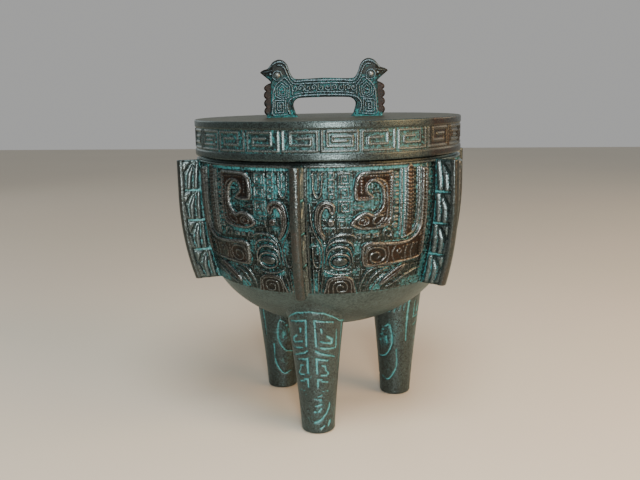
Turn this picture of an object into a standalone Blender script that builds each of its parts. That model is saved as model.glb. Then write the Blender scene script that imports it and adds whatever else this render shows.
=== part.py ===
"""A lidded tripod vessel cast in bronze, with flanges, mask relief and a bird-headed handle.

It stands on its three feet on Z = 0, with one foot and one flange towards -Y.
Angles round the vessel are measured from -Y and grow towards +X.
"""

import math

import bmesh
import bpy
from mathutils import Matrix

MM = 0.001
LEG_COUNT = 3

# Vessel wall and bowl
WALL_RADIUS = 103.8 * MM
WALL_UPRIGHT_Z = 194.0 * MM
WALL_CURVE_DEPTH = 162.0 * MM
WALL_THICKNESS = 4.0 * MM
RIM_Z = 209.3 * MM
BAND_BOTTOM_Z = 117.0 * MM
BAND_STEP = 0.8 * MM
BOWL_WIDEST_Z = 144.0 * MM
BOWL_BOTTOM_Z = 73.3 * MM
COLLAR_STEP = 1.8 * MM
COLLAR_HEIGHT = 2.2 * MM

# Flanges, one over each leg and one between each two
FLANGE_COUNT = 2 * LEG_COUNT
FLANGE_REACH = 17.4 * MM
FLANGE_UPRIGHT_Z = 183.0 * MM
FLANGE_CURVE_DEPTH = 166.0 * MM
FLANGE_THICKNESS = 7.0 * MM
FLANGE_CORE_THICKNESS = 5.0 * MM
FLANGE_CORE_INSET = 2.0 * MM
FLANGE_BORDER = 4.5 * MM
FLANGE_CELLS = 4
FLANGE_SLOT = 2.4 * MM

# Legs
LEG_CIRCLE = 58.3 * MM
LEG_FOOT_RADIUS = 12.9 * MM
LEG_TOP_RADIUS = 22.8 * MM
LEG_TOP_Z = 104.0 * MM
LEG_SWELL = 1.25
LEG_EDGE = 1.6 * MM
LEG_LEAN = 1.6 * MM

# Lid
LID_TURN = math.radians(11.2)
LID_OVERHANG = 1.2 * MM
LID_HEIGHT = 27.1 * MM
LID_PLATE = 3.5 * MM
LID_WALL = 4.5 * MM
LID_LEDGE = 4.0 * MM
LID_TOP_EDGE = 1.2 * MM
LID_UPPER_LIP = 5.6 * MM
LID_LOWER_LIP = 5.4 * MM
SKIRT_CLEARANCE = 0.8 * MM
SKIRT_THICKNESS = 2.8 * MM
SKIRT_DEPTH = 6.0 * MM
FRET_RECESS = 1.0 * MM
FRET_CELLS = 24
FRET_TURN = math.radians(-3.3)
FRET_LINE = 2.3 * MM
FRET_GAP = 3.2 * MM
FRET_MARGIN = 0.9 * MM
FRET_BELOW_LIPS = 0.1 * MM

# Handle, cast a little to the left of the lid's middle
HANDLE_OFFSET = 2.1 * MM
HANDLE_THICKNESS = 11.0 * MM
HANDLE_LENGTH = 100.6 * MM
HANDLE_HEIGHT = 44.7 * MM
HANDLE_EDGE = 1.1 * MM
HANDLE_SHARP_ANGLE = math.radians(50)
CREST_THICKNESS = 4.5 * MM
CREST_TEETH = 4
CREST_TOOTH = 2.0 * MM
CREST_WIDTH = 6.0 * MM
EYE_RADIUS = 2.6 * MM
EYE_PROUD = 1.4 * MM

# Fits and overlaps
TOUCH_GAP = 0.3 * MM
SINK = 1.5 * MM

# How finely curves are divided
ROUND_STEPS = 36
LEG_STEPS = 16
LEG_LEVELS = 4
WALL_LEVELS = 3
BOWL_LEVELS = 5
INSIDE_LEVELS = (2, 4)
FLANGE_LEVELS = 5
EYEBALL_STEPS = (8, 4)
BIRDS_EYE_STEPS = (8, 5)
LONGEST_STEP = 18.0 * MM

# The mask relief is drawn on the unrolled wall, on a sheet of this size in millimetres,
# from the middle of a mask to its side edge and from the band's lower edge to the rim.
SHEET_WIDTH = 109.0
SHEET_HEIGHT = 92.3

LID_BOTTOM_Z = RIM_Z + COLLAR_HEIGHT + TOUCH_GAP
LID_TOP_Z = LID_BOTTOM_Z + LID_HEIGHT
LID_RADIUS = WALL_RADIUS + LID_OVERHANG
MOUTH_RADIUS = WALL_RADIUS - WALL_THICKNESS
BRONZE = (0.085, 0.105, 0.09)
BRONZE_ROUGHNESS = 0.48
BRONZE_METALLIC = 0.55
WELD_DISTANCE = 0.001 * MM
ROUNDING = 1e-6


def clear_scene():
    for item in list(bpy.data.objects):
        bpy.data.objects.remove(item, do_unlink=True)


def new_collection(name):
    group = bpy.data.collections.new(name)
    bpy.context.scene.collection.children.link(group)
    return group


def bronze_material(name, colour):
    material = bpy.data.materials.new(name)
    material.use_nodes = True
    shader = material.node_tree.nodes["Principled BSDF"]
    shader.inputs["Base Color"].default_value = (*colour, 1)
    shader.inputs["Roughness"].default_value = BRONZE_ROUGHNESS
    shader.inputs["Metallic"].default_value = BRONZE_METALLIC
    return material


def ellipse_radius(widest, upright_z, depth, z):
    """Radius at height z of a form that is upright at one height and draws in below it."""
    drop = max(upright_z - z, 0)
    return widest * math.sqrt(1 - (drop / depth) ** 2)


def wall_radius(z):
    return ellipse_radius(WALL_RADIUS, WALL_UPRIGHT_Z, WALL_CURVE_DEPTH, z)


def flange_radius(z):
    widest = WALL_RADIUS + FLANGE_REACH
    return ellipse_radius(widest, FLANGE_UPRIGHT_Z, FLANGE_CURVE_DEPTH, z)


def levels(low, high, count):
    return [low + (high - low) * i / count for i in range(count + 1)]


def wall_line(count):
    """Points down the relief band, from the rim to its lower edge."""
    return [(wall_radius(z), z) for z in levels(RIM_Z, BAND_BOTTOM_Z, count)]


def bowl_line(start_radius, count):
    """Points down the plain round underside, from the relief band to the axis."""
    depth = BOWL_WIDEST_Z - BOWL_BOTTOM_Z
    start = math.asin((BOWL_WIDEST_Z - BAND_BOTTOM_Z) / depth)
    widest = start_radius / math.cos(start)
    turns = levels(start, math.pi / 2, count)
    line = [(widest * math.cos(t), BOWL_WIDEST_Z - depth * math.sin(t)) for t in turns]
    line[-1] = (0, BOWL_BOTTOM_Z)
    return line


def inset_line(line, distance):
    """The line moved inwards by a distance, square to its own course."""
    moved = []
    for i, (radius, z) in enumerate(line):
        before = line[max(i - 1, 0)]
        after = line[min(i + 1, len(line) - 1)]
        run = (after[0] - before[0], after[1] - before[1])
        length = math.hypot(*run)
        moved.append((radius + run[1] / length * distance, z - run[0] / length * distance))
    moved[0] = (line[0][0] - distance, line[0][1])
    moved[-1] = (0, line[-1][1] + distance)
    return moved


def body_line(wall_steps, bowl_steps):
    wall = wall_line(wall_steps)
    return wall + bowl_line(wall[-1][0], bowl_steps)[1:]


def link_mesh(name, mesh, group, material=None):
    item = bpy.data.objects.new(name, mesh)
    group.objects.link(item)
    if material:
        mesh.materials.append(material)
    return item


def turned(name, profile, steps, group, material=None):
    """A turned solid. Its profile starts and ends on the axis and runs down the outer side."""
    mesh = bpy.data.meshes.new(name)
    edges = [(i, i + 1) for i in range(len(profile) - 1)]
    mesh.from_pydata([(radius, 0, z) for radius, z in profile], edges, [])
    item = link_mesh(name, mesh, group, material)
    screw = item.modifiers.new("Turn", "SCREW")
    screw.steps = steps
    screw.render_steps = steps
    screw.use_merge_vertices = True
    screw.merge_threshold = WELD_DISTANCE
    screw.use_smooth_shade = True
    return item


def helper(item):
    item.hide_render = True
    item.display_type = "WIRE"
    return item


def join(item, tool, operation="UNION"):
    modifier = item.modifiers.new(tool.name, "BOOLEAN")
    modifier.operation = operation
    modifier.solver = "EXACT"
    modifier.object = tool


def plate_mesh(outline, thickness):
    """Mesh of a flat outline of the given thickness, centred on the XY plane."""
    curve = bpy.data.curves.new("outline", "CURVE")
    curve.dimensions = "2D"
    curve.fill_mode = "BOTH"
    curve.extrude = thickness / 2
    spline = curve.splines.new("POLY")
    spline.points.add(len(outline) - 1)
    for point, (x, y) in zip(spline.points, outline):
        point.co = (x, y, 0, 1)
    spline.use_cyclic_u = True
    guide = bpy.data.objects.new("outline", curve)
    bpy.context.scene.collection.objects.link(guide)
    evaluated = guide.evaluated_get(bpy.context.evaluated_depsgraph_get())
    mesh = bpy.data.meshes.new_from_object(evaluated)
    bpy.data.objects.remove(guide)
    bpy.data.curves.remove(curve)
    return mesh


def plate_shape(outline, thickness):
    """The same as an open bmesh, with its two caps welded to its sides."""
    mesh = plate_mesh(outline, thickness)
    shape = bmesh.new()
    shape.from_mesh(mesh)
    bpy.data.meshes.remove(mesh)
    bmesh.ops.remove_doubles(shape, verts=shape.verts, dist=WELD_DISTANCE)
    return shape


def finish_shape(name, shapes):
    """One mesh of one or more closed shapes, with their faces pointing out."""
    whole = bmesh.new()
    for shape in shapes:
        bmesh.ops.recalc_face_normals(shape, faces=shape.faces)
        mesh = bpy.data.meshes.new("piece")
        shape.to_mesh(mesh)
        shape.free()
        whole.from_mesh(mesh)
        bpy.data.meshes.remove(mesh)
    mesh = bpy.data.meshes.new(name)
    whole.to_mesh(mesh)
    whole.free()
    return mesh


def ribbon(stations):
    """Outline of a band whose stations give its centre line and its width."""
    left = []
    right = []
    for i, (x, y, width) in enumerate(stations):
        before = stations[max(i - 1, 0)]
        after = stations[min(i + 1, len(stations) - 1)]
        run = (after[0] - before[0], after[1] - before[1])
        length = math.hypot(*run)
        side = (-run[1] / length * width / 2, run[0] / length * width / 2)
        left.append((x + side[0], y + side[1]))
        right.append((x - side[0], y - side[1]))
    return left + right[::-1]


def fret_line(corners, width):
    """Outline of a band of one width that turns only square corners."""
    half = width / 2
    left = []
    right = []
    last = len(corners) - 1
    for i, (x, y) in enumerate(corners):
        before = corners[max(i - 1, 0)]
        after = corners[min(i + 1, last)]
        enter = (sign(x - before[0]), sign(y - before[1]))
        leave = (sign(after[0] - x), sign(after[1] - y))
        side = (-half * (enter[1] + leave[1]), half * (enter[0] + leave[0]))
        left.append((x + side[0], y + side[1]))
        right.append((x - side[0], y - side[1]))
    return left + right[::-1]


def sign(value):
    return (value > WELD_DISTANCE) - (value < -WELD_DISTANCE)


def block(x, y, width, height):
    return [
        (x - width / 2, y - height / 2),
        (x + width / 2, y - height / 2),
        (x + width / 2, y + height / 2),
        (x - width / 2, y + height / 2),
    ]


def split_long(outline, longest):
    """The outline with points added where an edge runs too far round the curve of a wall."""
    points = []
    for (x0, y0), (x1, y1) in zip(outline, outline[1:] + outline[:1]):
        parts = max(1, math.ceil(abs(x1 - x0) / longest - ROUNDING))
        points += [(x0 + (x1 - x0) * k / parts, y0 + (y1 - y0) * k / parts) for k in range(parts)]
    return points


def wrap(shape, radius_at, sheet_radius, middle, side, height):
    """Lays a plate on a round wall: X becomes the way round it, Y the height and Z the depth."""
    for corner in shape.verts:
        x, z, depth = corner.co
        angle = middle + side * x / sheet_radius
        radius = radius_at(z) + (height if depth > 0 else -SINK)
        corner.co = (radius * math.sin(angle), -radius * math.cos(angle), z)
    return shape


# Mask relief, in millimetres on the unrolled wall. A station is across, up and width.
HORN = (
    (51.5, 70.8, 2.5), (44.2, 71.4, 5.5), (42.0, 77.5, 6.4), (46.0, 83.6, 6.0), (57.0, 83.6, 6.0),
    (61.3, 77.0, 7.6), (61.3, 64.0, 8.0), (56.5, 55.5, 9.0), (46.0, 53.6, 11.0), (36.0, 51.8, 1.5),
)
BROW = (
    (16.5, 60.5, 1.4), (21.5, 59.8, 2.6), (22.4, 65.4, 2.8), (16.4, 67.0, 3.0), (11.4, 61.5, 3.6),
    (11.4, 51.5, 3.6), (17.0, 42.5, 1.4),
)
UPPER_LID = ((19.0, 34.5, 1.2), (22.0, 38.6, 2.2), (28.5, 40.9, 2.8), (35.0, 39.6, 2.2), (38.8, 35.5, 1.2))
EYE_LID = ((17.8, 23.0, 1.2), (20.3, 30.4, 2.2), (27.5, 33.6, 2.6), (35.2, 31.2, 2.2), (38.2, 24.0, 1.2))
CHEEK_AND_BODY = (
    (43.0, 20.0), (42.4, 33.0), (45.5, 38.2), (51.0, 40.6), (75.0, 41.0), (91.6, 42.5), (91.6, 88.0),
    (97.8, 88.0), (97.8, 19.0), (66.0, 19.0), (52.0, 17.8),
)
BODY_RIDGE = ((88.4, 88.0, 2.6), (88.4, 53.0, 2.6), (85.6, 46.6, 2.6), (78.0, 43.8, 1.6))
JAW = ((15.5, 1.5), (18.2, 12.8), (22.5, 15.0), (34.5, 15.0), (39.2, 12.0), (39.5, 1.5))
FANG = ((45.2, 2.6, 1.6), (48.0, 8.5, 4.0), (53.0, 13.4, 3.6), (62.5, 16.2, 1.6))
CLAW = ((60.5, 3.4, 2.2), (67.0, 10.2, 6.0), (74.5, 15.0, 4.0), (82.0, 17.0, 1.4))
EAR_HOOK = ((8.2, 87.6, 2.0), (9.0, 76.0, 2.6), (14.4, 75.0, 2.6), (15.8, 86.0, 1.8))
SPINE = (74.6, 67.3, 4.6, 41.0)
EYEBALL = (27.6, 25.4, 7.4, 4.6)

# Each shape of the mask with how far it stands out, in millimetres.
MASK = (
    (ribbon(HORN), 2.0),
    (ribbon(BROW), 1.6),
    (ribbon(UPPER_LID), 1.2),
    (ribbon(EYE_LID), 1.4),
    (CHEEK_AND_BODY, 1.8),
    (ribbon(BODY_RIDGE), 1.4),
    (JAW, 1.5),
    (ribbon(FANG), 1.6),
    (ribbon(CLAW), 1.8),
    (ribbon(EAR_HOOK), 1.2),
    (block(*SPINE), 1.4),
)
EYEBALL_HEIGHT = 2.4 * MM


def on_sheet(outline):
    """Sheet millimetres to metres on the wall, so that the mask fills the band at any size."""
    across = math.pi * WALL_RADIUS / LEG_COUNT / SHEET_WIDTH
    up = (RIM_Z - BAND_BOTTOM_Z) / SHEET_HEIGHT
    return [(x * across, BAND_BOTTOM_Z + y * up) for x, y in outline]


def mask_half(middle, side):
    """The raised shapes of one half of a mask, as closed solids sunk into the wall."""
    shapes = []
    for outline, height in MASK:
        plate = plate_shape(split_long(on_sheet(outline), LONGEST_STEP), MM)
        shapes.append(wrap(plate, wall_radius, WALL_RADIUS, middle, side, height * MM))
    shapes.append(eyeball(middle, side))
    return shapes


def eyeball(middle, side):
    x, y, half_width, half_height = EYEBALL
    (across, z), (edge, top) = on_sheet([(x, y), (x + half_width, y + half_height)])
    ball = bmesh.new()
    bmesh.ops.create_uvsphere(ball, u_segments=EYEBALL_STEPS[0], v_segments=EYEBALL_STEPS[1], radius=1)
    angle = middle + side * across / WALL_RADIUS
    size = Matrix.Diagonal((edge - across, EYEBALL_HEIGHT + SINK, top - z, 1))
    place = Matrix.Rotation(angle, 4, "Z") @ Matrix.Translation((0, SINK - wall_radius(z), z))
    bmesh.ops.transform(ball, matrix=place @ size, verts=ball.verts)
    return ball


def mask_relief(group):
    shapes = []
    for i in range(LEG_COUNT):
        middle = 2 * math.pi * i / LEG_COUNT
        shapes += mask_half(middle, 1) + mask_half(middle, -1)
    return helper(link_mesh("mask_relief", finish_shape("mask_relief", shapes), group))


def flange_outline(inset):
    """A flange's outline in radius and height, from the wall out to its edge and back."""
    low = BAND_BOTTOM_Z + inset
    high = RIM_Z - inset
    outer = [(flange_radius(z) - inset, z) for z in levels(low, high, FLANGE_LEVELS)]
    inner = [(wall_radius(z) - SINK, z) for z in levels(high, low, FLANGE_LEVELS)]
    return outer + inner


def flange_comb():
    """The flange's outline with slots cut in from the wall between its cells."""
    height_of_cell = (RIM_Z - BAND_BOTTOM_Z) / FLANGE_CELLS
    outer = [(flange_radius(z), z) for z in levels(BAND_BOTTOM_Z, RIM_Z, FLANGE_LEVELS)]
    inner = []
    for i in reversed(range(FLANGE_CELLS)):
        low = BAND_BOTTOM_Z + i * height_of_cell + FLANGE_SLOT / 2 * (i > 0)
        high = BAND_BOTTOM_Z + (i + 1) * height_of_cell - FLANGE_SLOT / 2 * (i < FLANGE_CELLS - 1)
        if i < FLANGE_CELLS - 1:
            inner.append((flange_radius(high) - FLANGE_BORDER, high))
        inner.append((wall_radius(high) - SINK, high))
        inner.append((wall_radius(low) - SINK, low))
        if i > 0:
            inner.append((flange_radius(low) - FLANGE_BORDER, low))
    return outer + inner


def stood_up(shape, angle):
    """Turns a plate drawn in radius and height so that it stands out from the axis."""
    upright = Matrix.Rotation(math.pi / 2, 4, "X")
    turn = Matrix.Rotation(angle - math.pi / 2, 4, "Z")
    bmesh.ops.transform(shape, matrix=turn @ upright, verts=shape.verts)
    return shape


def flange_plates(name, outline, thickness, group):
    shapes = []
    for i in range(FLANGE_COUNT):
        angle = 2 * math.pi * i / FLANGE_COUNT
        shapes.append(stood_up(plate_shape(outline, thickness), angle))
    return helper(link_mesh(name, finish_shape(name, shapes), group))


def leg_radius(z):
    return LEG_FOOT_RADIUS + (LEG_TOP_RADIUS - LEG_FOOT_RADIUS) * (z / LEG_TOP_Z) ** LEG_SWELL


def leg_profile():
    sides = [(leg_radius(z), z) for z in levels(LEG_TOP_Z, LEG_EDGE, LEG_LEVELS)]
    return [(0, LEG_TOP_Z)] + sides + [(LEG_FOOT_RADIUS - LEG_EDGE, 0), (0, 0)]


def leg(index, group, bowl_core):
    """A tapering round leg, cut off inside the thickness of the bowl."""
    item = helper(turned(f"leg_{index + 1}", leg_profile(), LEG_STEPS, group))
    lean = Matrix.Identity(4)
    lean[1][2] = -LEG_LEAN / LEG_TOP_Z
    angle = 2 * math.pi * index / LEG_COUNT
    item.matrix_world = Matrix.Rotation(angle, 4, "Z") @ Matrix.Translation((0, -LEG_CIRCLE, 0)) @ lean
    join(item, bowl_core, "DIFFERENCE")
    return item


def make_bowl_core(group):
    """A solid that fills the bowl to the middle of its wall."""
    line = inset_line(body_line(WALL_LEVELS, BOWL_LEVELS), WALL_THICKNESS / 2)
    profile = [(0, line[0][1])] + line
    return helper(turned("bowl_core", profile, ROUND_STEPS, group))


def make_vessel(parts, cutters, material):
    wall = wall_line(WALL_LEVELS)
    bowl = bowl_line(wall[-1][0] - BAND_STEP, BOWL_LEVELS)
    inside = inset_line(body_line(*INSIDE_LEVELS), WALL_THICKNESS)
    collar = WALL_RADIUS - COLLAR_STEP
    top = RIM_Z + COLLAR_HEIGHT
    rim = [(MOUTH_RADIUS, top), (collar, top), (collar, RIM_Z)]
    profile = inside[::-1][:-1] + rim + wall + bowl
    vessel = turned("vessel", profile, ROUND_STEPS, parts, material)
    join(vessel, mask_relief(cutters))
    core = flange_outline(FLANGE_CORE_INSET)
    join(vessel, flange_plates("flange_cores", core, FLANGE_CORE_THICKNESS, cutters))
    join(vessel, flange_plates("flanges", flange_comb(), FLANGE_THICKNESS, cutters))
    bowl_core = make_bowl_core(cutters)
    for index in range(LEG_COUNT):
        join(vessel, leg(index, cutters, bowl_core))
    return vessel


def lid_profile():
    fret = LID_RADIUS - FRET_RECESS
    skirt = MOUTH_RADIUS - SKIRT_CLEARANCE
    inside_skirt = skirt - SKIRT_THICKNESS
    fret_top = LID_TOP_Z - LID_UPPER_LIP
    fret_bottom = LID_BOTTOM_Z + LID_LOWER_LIP
    return [
        (0, LID_TOP_Z),
        (LID_RADIUS - LID_TOP_EDGE, LID_TOP_Z),
        (LID_RADIUS, LID_TOP_Z - LID_TOP_EDGE),
        (LID_RADIUS, fret_top),
        (fret, fret_top),
        (fret, fret_bottom),
        (LID_RADIUS, fret_bottom),
        (LID_RADIUS, LID_BOTTOM_Z),
        (skirt, LID_BOTTOM_Z),
        (skirt, LID_BOTTOM_Z - SKIRT_DEPTH),
        (inside_skirt, LID_BOTTOM_Z - SKIRT_DEPTH),
        (inside_skirt, LID_BOTTOM_Z + LID_LEDGE),
        (LID_RADIUS - LID_WALL, LID_BOTTOM_Z + LID_LEDGE),
        (LID_RADIUS - LID_WALL, LID_TOP_Z - LID_PLATE),
        (0, LID_TOP_Z - LID_PLATE),
    ]


def fret_relief(group):
    """Square spirals round the lid's band, each other one turned end for end."""
    ground = LID_RADIUS - FRET_RECESS
    cell = 2 * math.pi * LID_RADIUS / FRET_CELLS
    low = LID_BOTTOM_Z + LID_LOWER_LIP + FRET_MARGIN + FRET_LINE / 2
    high = LID_TOP_Z - LID_UPPER_LIP - FRET_MARGIN - FRET_LINE / 2
    middle_row = (low + high) / 2
    right = cell / 2 - FRET_MARGIN - FRET_LINE / 2
    inner = right - FRET_LINE - FRET_GAP
    spiral = [
        (-right, low), (-right, high), (right, high), (right, low),
        (-inner, low), (-inner, middle_row), (inner, middle_row),
    ]
    outline = split_long(fret_line(spiral, FRET_LINE), LONGEST_STEP)
    height = FRET_RECESS - FRET_BELOW_LIPS
    shapes = []
    for i in range(FRET_CELLS):
        middle = LID_TURN + FRET_TURN + 2 * math.pi * (i + 0.5) / FRET_CELLS
        plate = plate_shape(outline, MM)
        side = 1 if i % 2 else -1
        shapes.append(wrap(plate, lambda z: ground, LID_RADIUS, middle, side, height))
    return helper(link_mesh("fret_relief", finish_shape("fret_relief", shapes), group))


# The handle's half outline, as shares of its half length and of its height above the lid.
HANDLE_HALF = (
    (0.000, 0.676), (0.400, 0.660), (0.490, 0.692), (0.540, 0.790), (0.572, 0.900), (0.620, 0.970),
    (0.696, 1.000), (0.784, 0.966), (0.842, 0.895), (0.885, 0.846), (0.946, 0.826), (1.000, 0.787),
    (0.966, 0.747), (0.852, 0.638), (0.836, 0.560), (0.850, 0.100), (0.878, 0.000), (0.446, 0.000),
    (0.462, 0.070), (0.490, 0.180), (0.490, 0.246), (0.450, 0.305), (0.360, 0.334), (0.000, 0.343),
)
BEAK_START = 0.80
BEAK_UNDERSIDE = 0.62
BEAK_THIN = 0.60
BIRDS_EYE = (0.728, 0.722)
CREST_SPAN = (0.04, 0.60)
CREST_EDGE = 0.915
CREST_TOOTH_LINE = ((0, 0), (1 / 3, 1), (2 / 3, 1))


def mirrored(half):
    """A whole outline from its right half, whose two ends lie on the middle line."""
    return list(half) + [(-x, y) for x, y in reversed(half[1:-1])]


def on_handle(points):
    """Shares to metres, with the points at the lid carried down into its plate."""
    return [(x * HANDLE_LENGTH / 2, y * HANDLE_HEIGHT if y else -SINK) for x, y in points]


def stand_on_lid(shape):
    """Turns a plate drawn in X and height so that it stands on the lid, facing its front."""
    upright = Matrix.Translation((-HANDLE_OFFSET, 0, 0)) @ Matrix.Rotation(math.pi / 2, 4, "X")
    place = Matrix.Translation((0, 0, LID_TOP_Z)) @ Matrix.Rotation(LID_TURN, 4, "Z")
    bmesh.ops.transform(shape, matrix=place @ upright, verts=shape.verts)
    return shape


def handle_body(group):
    """The bridge with a bird's head at each end, thinner towards the tip of the beak."""
    shape = plate_shape(on_handle(mirrored(HANDLE_HALF)), HANDLE_THICKNESS)
    for corner in shape.verts:
        along = abs(corner.co.x) / (HANDLE_LENGTH / 2)
        if along > BEAK_START and corner.co.y > BEAK_UNDERSIDE * HANDLE_HEIGHT:
            corner.co.z *= 1 - BEAK_THIN * (along - BEAK_START) / (1 - BEAK_START)
    mesh = finish_shape("handle_body", [stand_on_lid(shape)])
    item = helper(link_mesh("handle_body", mesh, group))
    edge = item.modifiers.new("Rounded edges", "BEVEL")
    edge.width = HANDLE_EDGE
    edge.segments = 1
    edge.limit_method = "ANGLE"
    edge.angle_limit = HANDLE_SHARP_ANGLE
    return item


def crest_outline():
    """A scalloped strip down the outer side of a bird, from its breast to the lid."""
    low, high = CREST_SPAN
    tooth = CREST_TOOTH / (HANDLE_LENGTH / 2)
    back = CREST_EDGE - CREST_WIDTH / (HANDLE_LENGTH / 2)
    edge = []
    for i in range(CREST_TEETH):
        for share, out in CREST_TOOTH_LINE:
            height = low + (high - low) * (i + share) / CREST_TEETH
            edge.append((CREST_EDGE + out * tooth, height))
    return on_handle([(back, 0), (CREST_EDGE, 0)] + edge + [(CREST_EDGE, high), (back, high)])


def crests_and_eyes(group):
    """The scalloped crests and the birds' eyes, each closed and sunk into the handle."""
    crests = []
    eyes = []
    round_steps, up_steps = BIRDS_EYE_STEPS
    [(x, y)] = on_handle([BIRDS_EYE])
    for side in (-1, 1):
        crest = plate_shape([(side * out, up) for out, up in crest_outline()], CREST_THICKNESS)
        crests.append(stand_on_lid(crest))
        for face in (-1, 1):
            depth = face * (HANDLE_THICKNESS / 2 + EYE_PROUD - EYE_RADIUS)
            ball = bmesh.new()
            bmesh.ops.create_uvsphere(ball, u_segments=round_steps, v_segments=up_steps, radius=EYE_RADIUS)
            bmesh.ops.translate(ball, vec=(side * x, y, depth), verts=ball.verts)
            eyes.append(stand_on_lid(ball))
    return [
        helper(link_mesh("handle_crests", finish_shape("handle_crests", crests), group)),
        helper(link_mesh("birds_eyes", finish_shape("birds_eyes", eyes), group)),
    ]


def make_lid(parts, cutters, material):
    lid = turned("lid", lid_profile(), ROUND_STEPS, parts, material)
    join(lid, fret_relief(cutters))
    join(lid, handle_body(cutters))
    for trim in crests_and_eyes(cutters):
        join(lid, trim)
    return lid


def main():
    clear_scene()
    parts = new_collection("lidded_tripod_vessel")
    cutters = new_collection("cutters")
    make_vessel(parts, cutters, bronze_material("vessel_bronze", BRONZE))
    make_lid(parts, cutters, bronze_material("lid_bronze", BRONZE))


main()
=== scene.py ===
"""Visual model of the lidded tripod vessel: cast relief, patina, floor, lights and camera.

Shapes are drawn in millimetres and made in metres, in the frame of the solids: +Z up, the
front foot towards -Y, and angles round the vessel measured from -Y and growing towards +X.
"""

import math

import bpy
import numpy as np
from mathutils import Matrix, Vector


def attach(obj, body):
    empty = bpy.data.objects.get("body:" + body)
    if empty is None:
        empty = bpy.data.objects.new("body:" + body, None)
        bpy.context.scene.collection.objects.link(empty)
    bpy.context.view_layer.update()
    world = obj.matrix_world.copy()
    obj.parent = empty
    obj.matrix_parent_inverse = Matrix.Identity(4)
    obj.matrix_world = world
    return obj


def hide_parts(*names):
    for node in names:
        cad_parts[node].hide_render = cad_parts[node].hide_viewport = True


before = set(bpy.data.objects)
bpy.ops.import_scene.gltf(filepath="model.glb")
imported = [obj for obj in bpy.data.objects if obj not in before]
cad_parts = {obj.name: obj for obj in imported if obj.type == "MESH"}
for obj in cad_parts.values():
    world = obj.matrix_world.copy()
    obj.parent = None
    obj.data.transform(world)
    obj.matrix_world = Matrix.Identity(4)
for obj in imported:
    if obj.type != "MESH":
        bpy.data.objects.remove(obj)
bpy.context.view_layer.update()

MM = 0.001

# Vessel wall and bowl, in millimetres
LEG_COUNT = 3
WALL_RADIUS = 103.8
WALL_UPRIGHT_Z = 194.0
WALL_CURVE_DEPTH = 162.0
WALL_THICKNESS = 4.0
RIM_Z = 209.3
BAND_BOTTOM_Z = 117.0
BAND_STEP = 0.8
BOWL_WIDEST_Z = 144.0
BOWL_BOTTOM_Z = 73.3
COLLAR_STEP = 1.8
COLLAR_HEIGHT = 2.2
# How far an edge is set in, and a panel tucked under the band's lower edge
EDGE_INSET = 0.4
PANEL_TUCK = 2.5

# Flanges
FLANGE_COUNT = 2 * LEG_COUNT
FLANGE_REACH = 17.4
FLANGE_UPRIGHT_Z = 183.0
FLANGE_CURVE_DEPTH = 166.0
FLANGE_THICKNESS = 7.0
FLANGE_CELLS = 4
FLANGE_CELL_INSET = 1.2
FLANGE_BORDER = 4.5
FLANGE_GROUND = 1.1
FLANGE_NOSE = 2.0
FLANGE_SINK = 1.0
FLANGE_END = 0.6

# Legs
LEG_CIRCLE = 58.3
LEG_FOOT_RADIUS = 12.9
LEG_TOP_RADIUS = 22.8
LEG_TOP_Z = 104.0
LEG_REACH_Z = LEG_TOP_Z + 6
LEG_SWELL = 1.25
LEG_LEAN = 1.6
LEG_EDGE = 1.6
LEG_SINK = 2.9
LEG_FILLET_REACH = 4.0
LEG_FILLET_BEND = 0.042
LEG_LINE_SWELL = 1.75
LEG_FAINT_Z = 36.0
LEG_SEAM_DROP = 1.2
LEG_SEAM_WIDTH = 1.5
LEG_SEAM_DEPTH = 0.4

# Lid
LID_TURN = math.radians(11.2)
LID_OVERHANG = 1.2
LID_HEIGHT = 27.1
LID_PLATE = 3.5
LID_WALL = 4.5
LID_LEDGE = 4.0
LID_TOP_EDGE = 1.2
LID_UPPER_LIP = 5.6
LID_LOWER_LIP = 5.4
SKIRT_CLEARANCE = 0.8
SKIRT_THICKNESS = 2.8
SKIRT_DEPTH = 6.0
FRET_RECESS = 1.0
FRET_CELLS = 24
FRET_TURN = math.radians(-3.3)
FRET_KINDS = ("nested", "plain", "plain", "mirrored")
FRET_LINE = 1.7
FRET_HEIGHT = 0.85
FRET_ROUNDING = 0.8
LIP_ROUNDING = 1.2
# The stretch of the lid's band that faces the warm side light and gets painted warm light, by the
# way round, and how softly it ends
LID_WARM_LIT_SPAN = (80.0, 205.0)
LID_WARM_LIT_FADE = 12.0

# Handle, cast a little to the left of the lid's middle
HANDLE_OFFSET = 2.1
HANDLE_THICKNESS = 11.0
HANDLE_LENGTH = 100.6
HANDLE_HEIGHT = 44.7
HANDLE_EDGE = 1.1
HANDLE_SINK = 1.5
CREST_THICKNESS = 4.5
CREST_TEETH = 4
CREST_TOOTH = 2.0
CREST_WIDTH = 6.0
CREST_EDGE = 0.8
# How far the crest's top draws in, over which height
CREST_SLOPE = (3.6, 5.0)
EYE_RADIUS = 2.6
EYE_PROUD = 1.4
EYE_COLUMNS = 32
FOOT_MIDDLE = 33.3
FOOT_HALF = 10.8

TOUCH_GAP = 0.3
LID_BOTTOM_Z = RIM_Z + COLLAR_HEIGHT + TOUCH_GAP
LID_TOP_Z = LID_BOTTOM_Z + LID_HEIGHT
LID_RADIUS = WALL_RADIUS + LID_OVERHANG
MOUTH_RADIUS = WALL_RADIUS - WALL_THICKNESS

# Relief is drawn on sheets at this step, then sampled onto the meshes.
DRAWING_STEP = 0.2
SHORTEST = 1e-6

# The half mask, in millimetres on the unrolled wall, from the middle of a mask to its side
# edge and from the band's lower edge to the rim. A third value is a line's width.
SHEET_WIDTH = 109.0
SHEET_HEIGHT = 92.3


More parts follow.
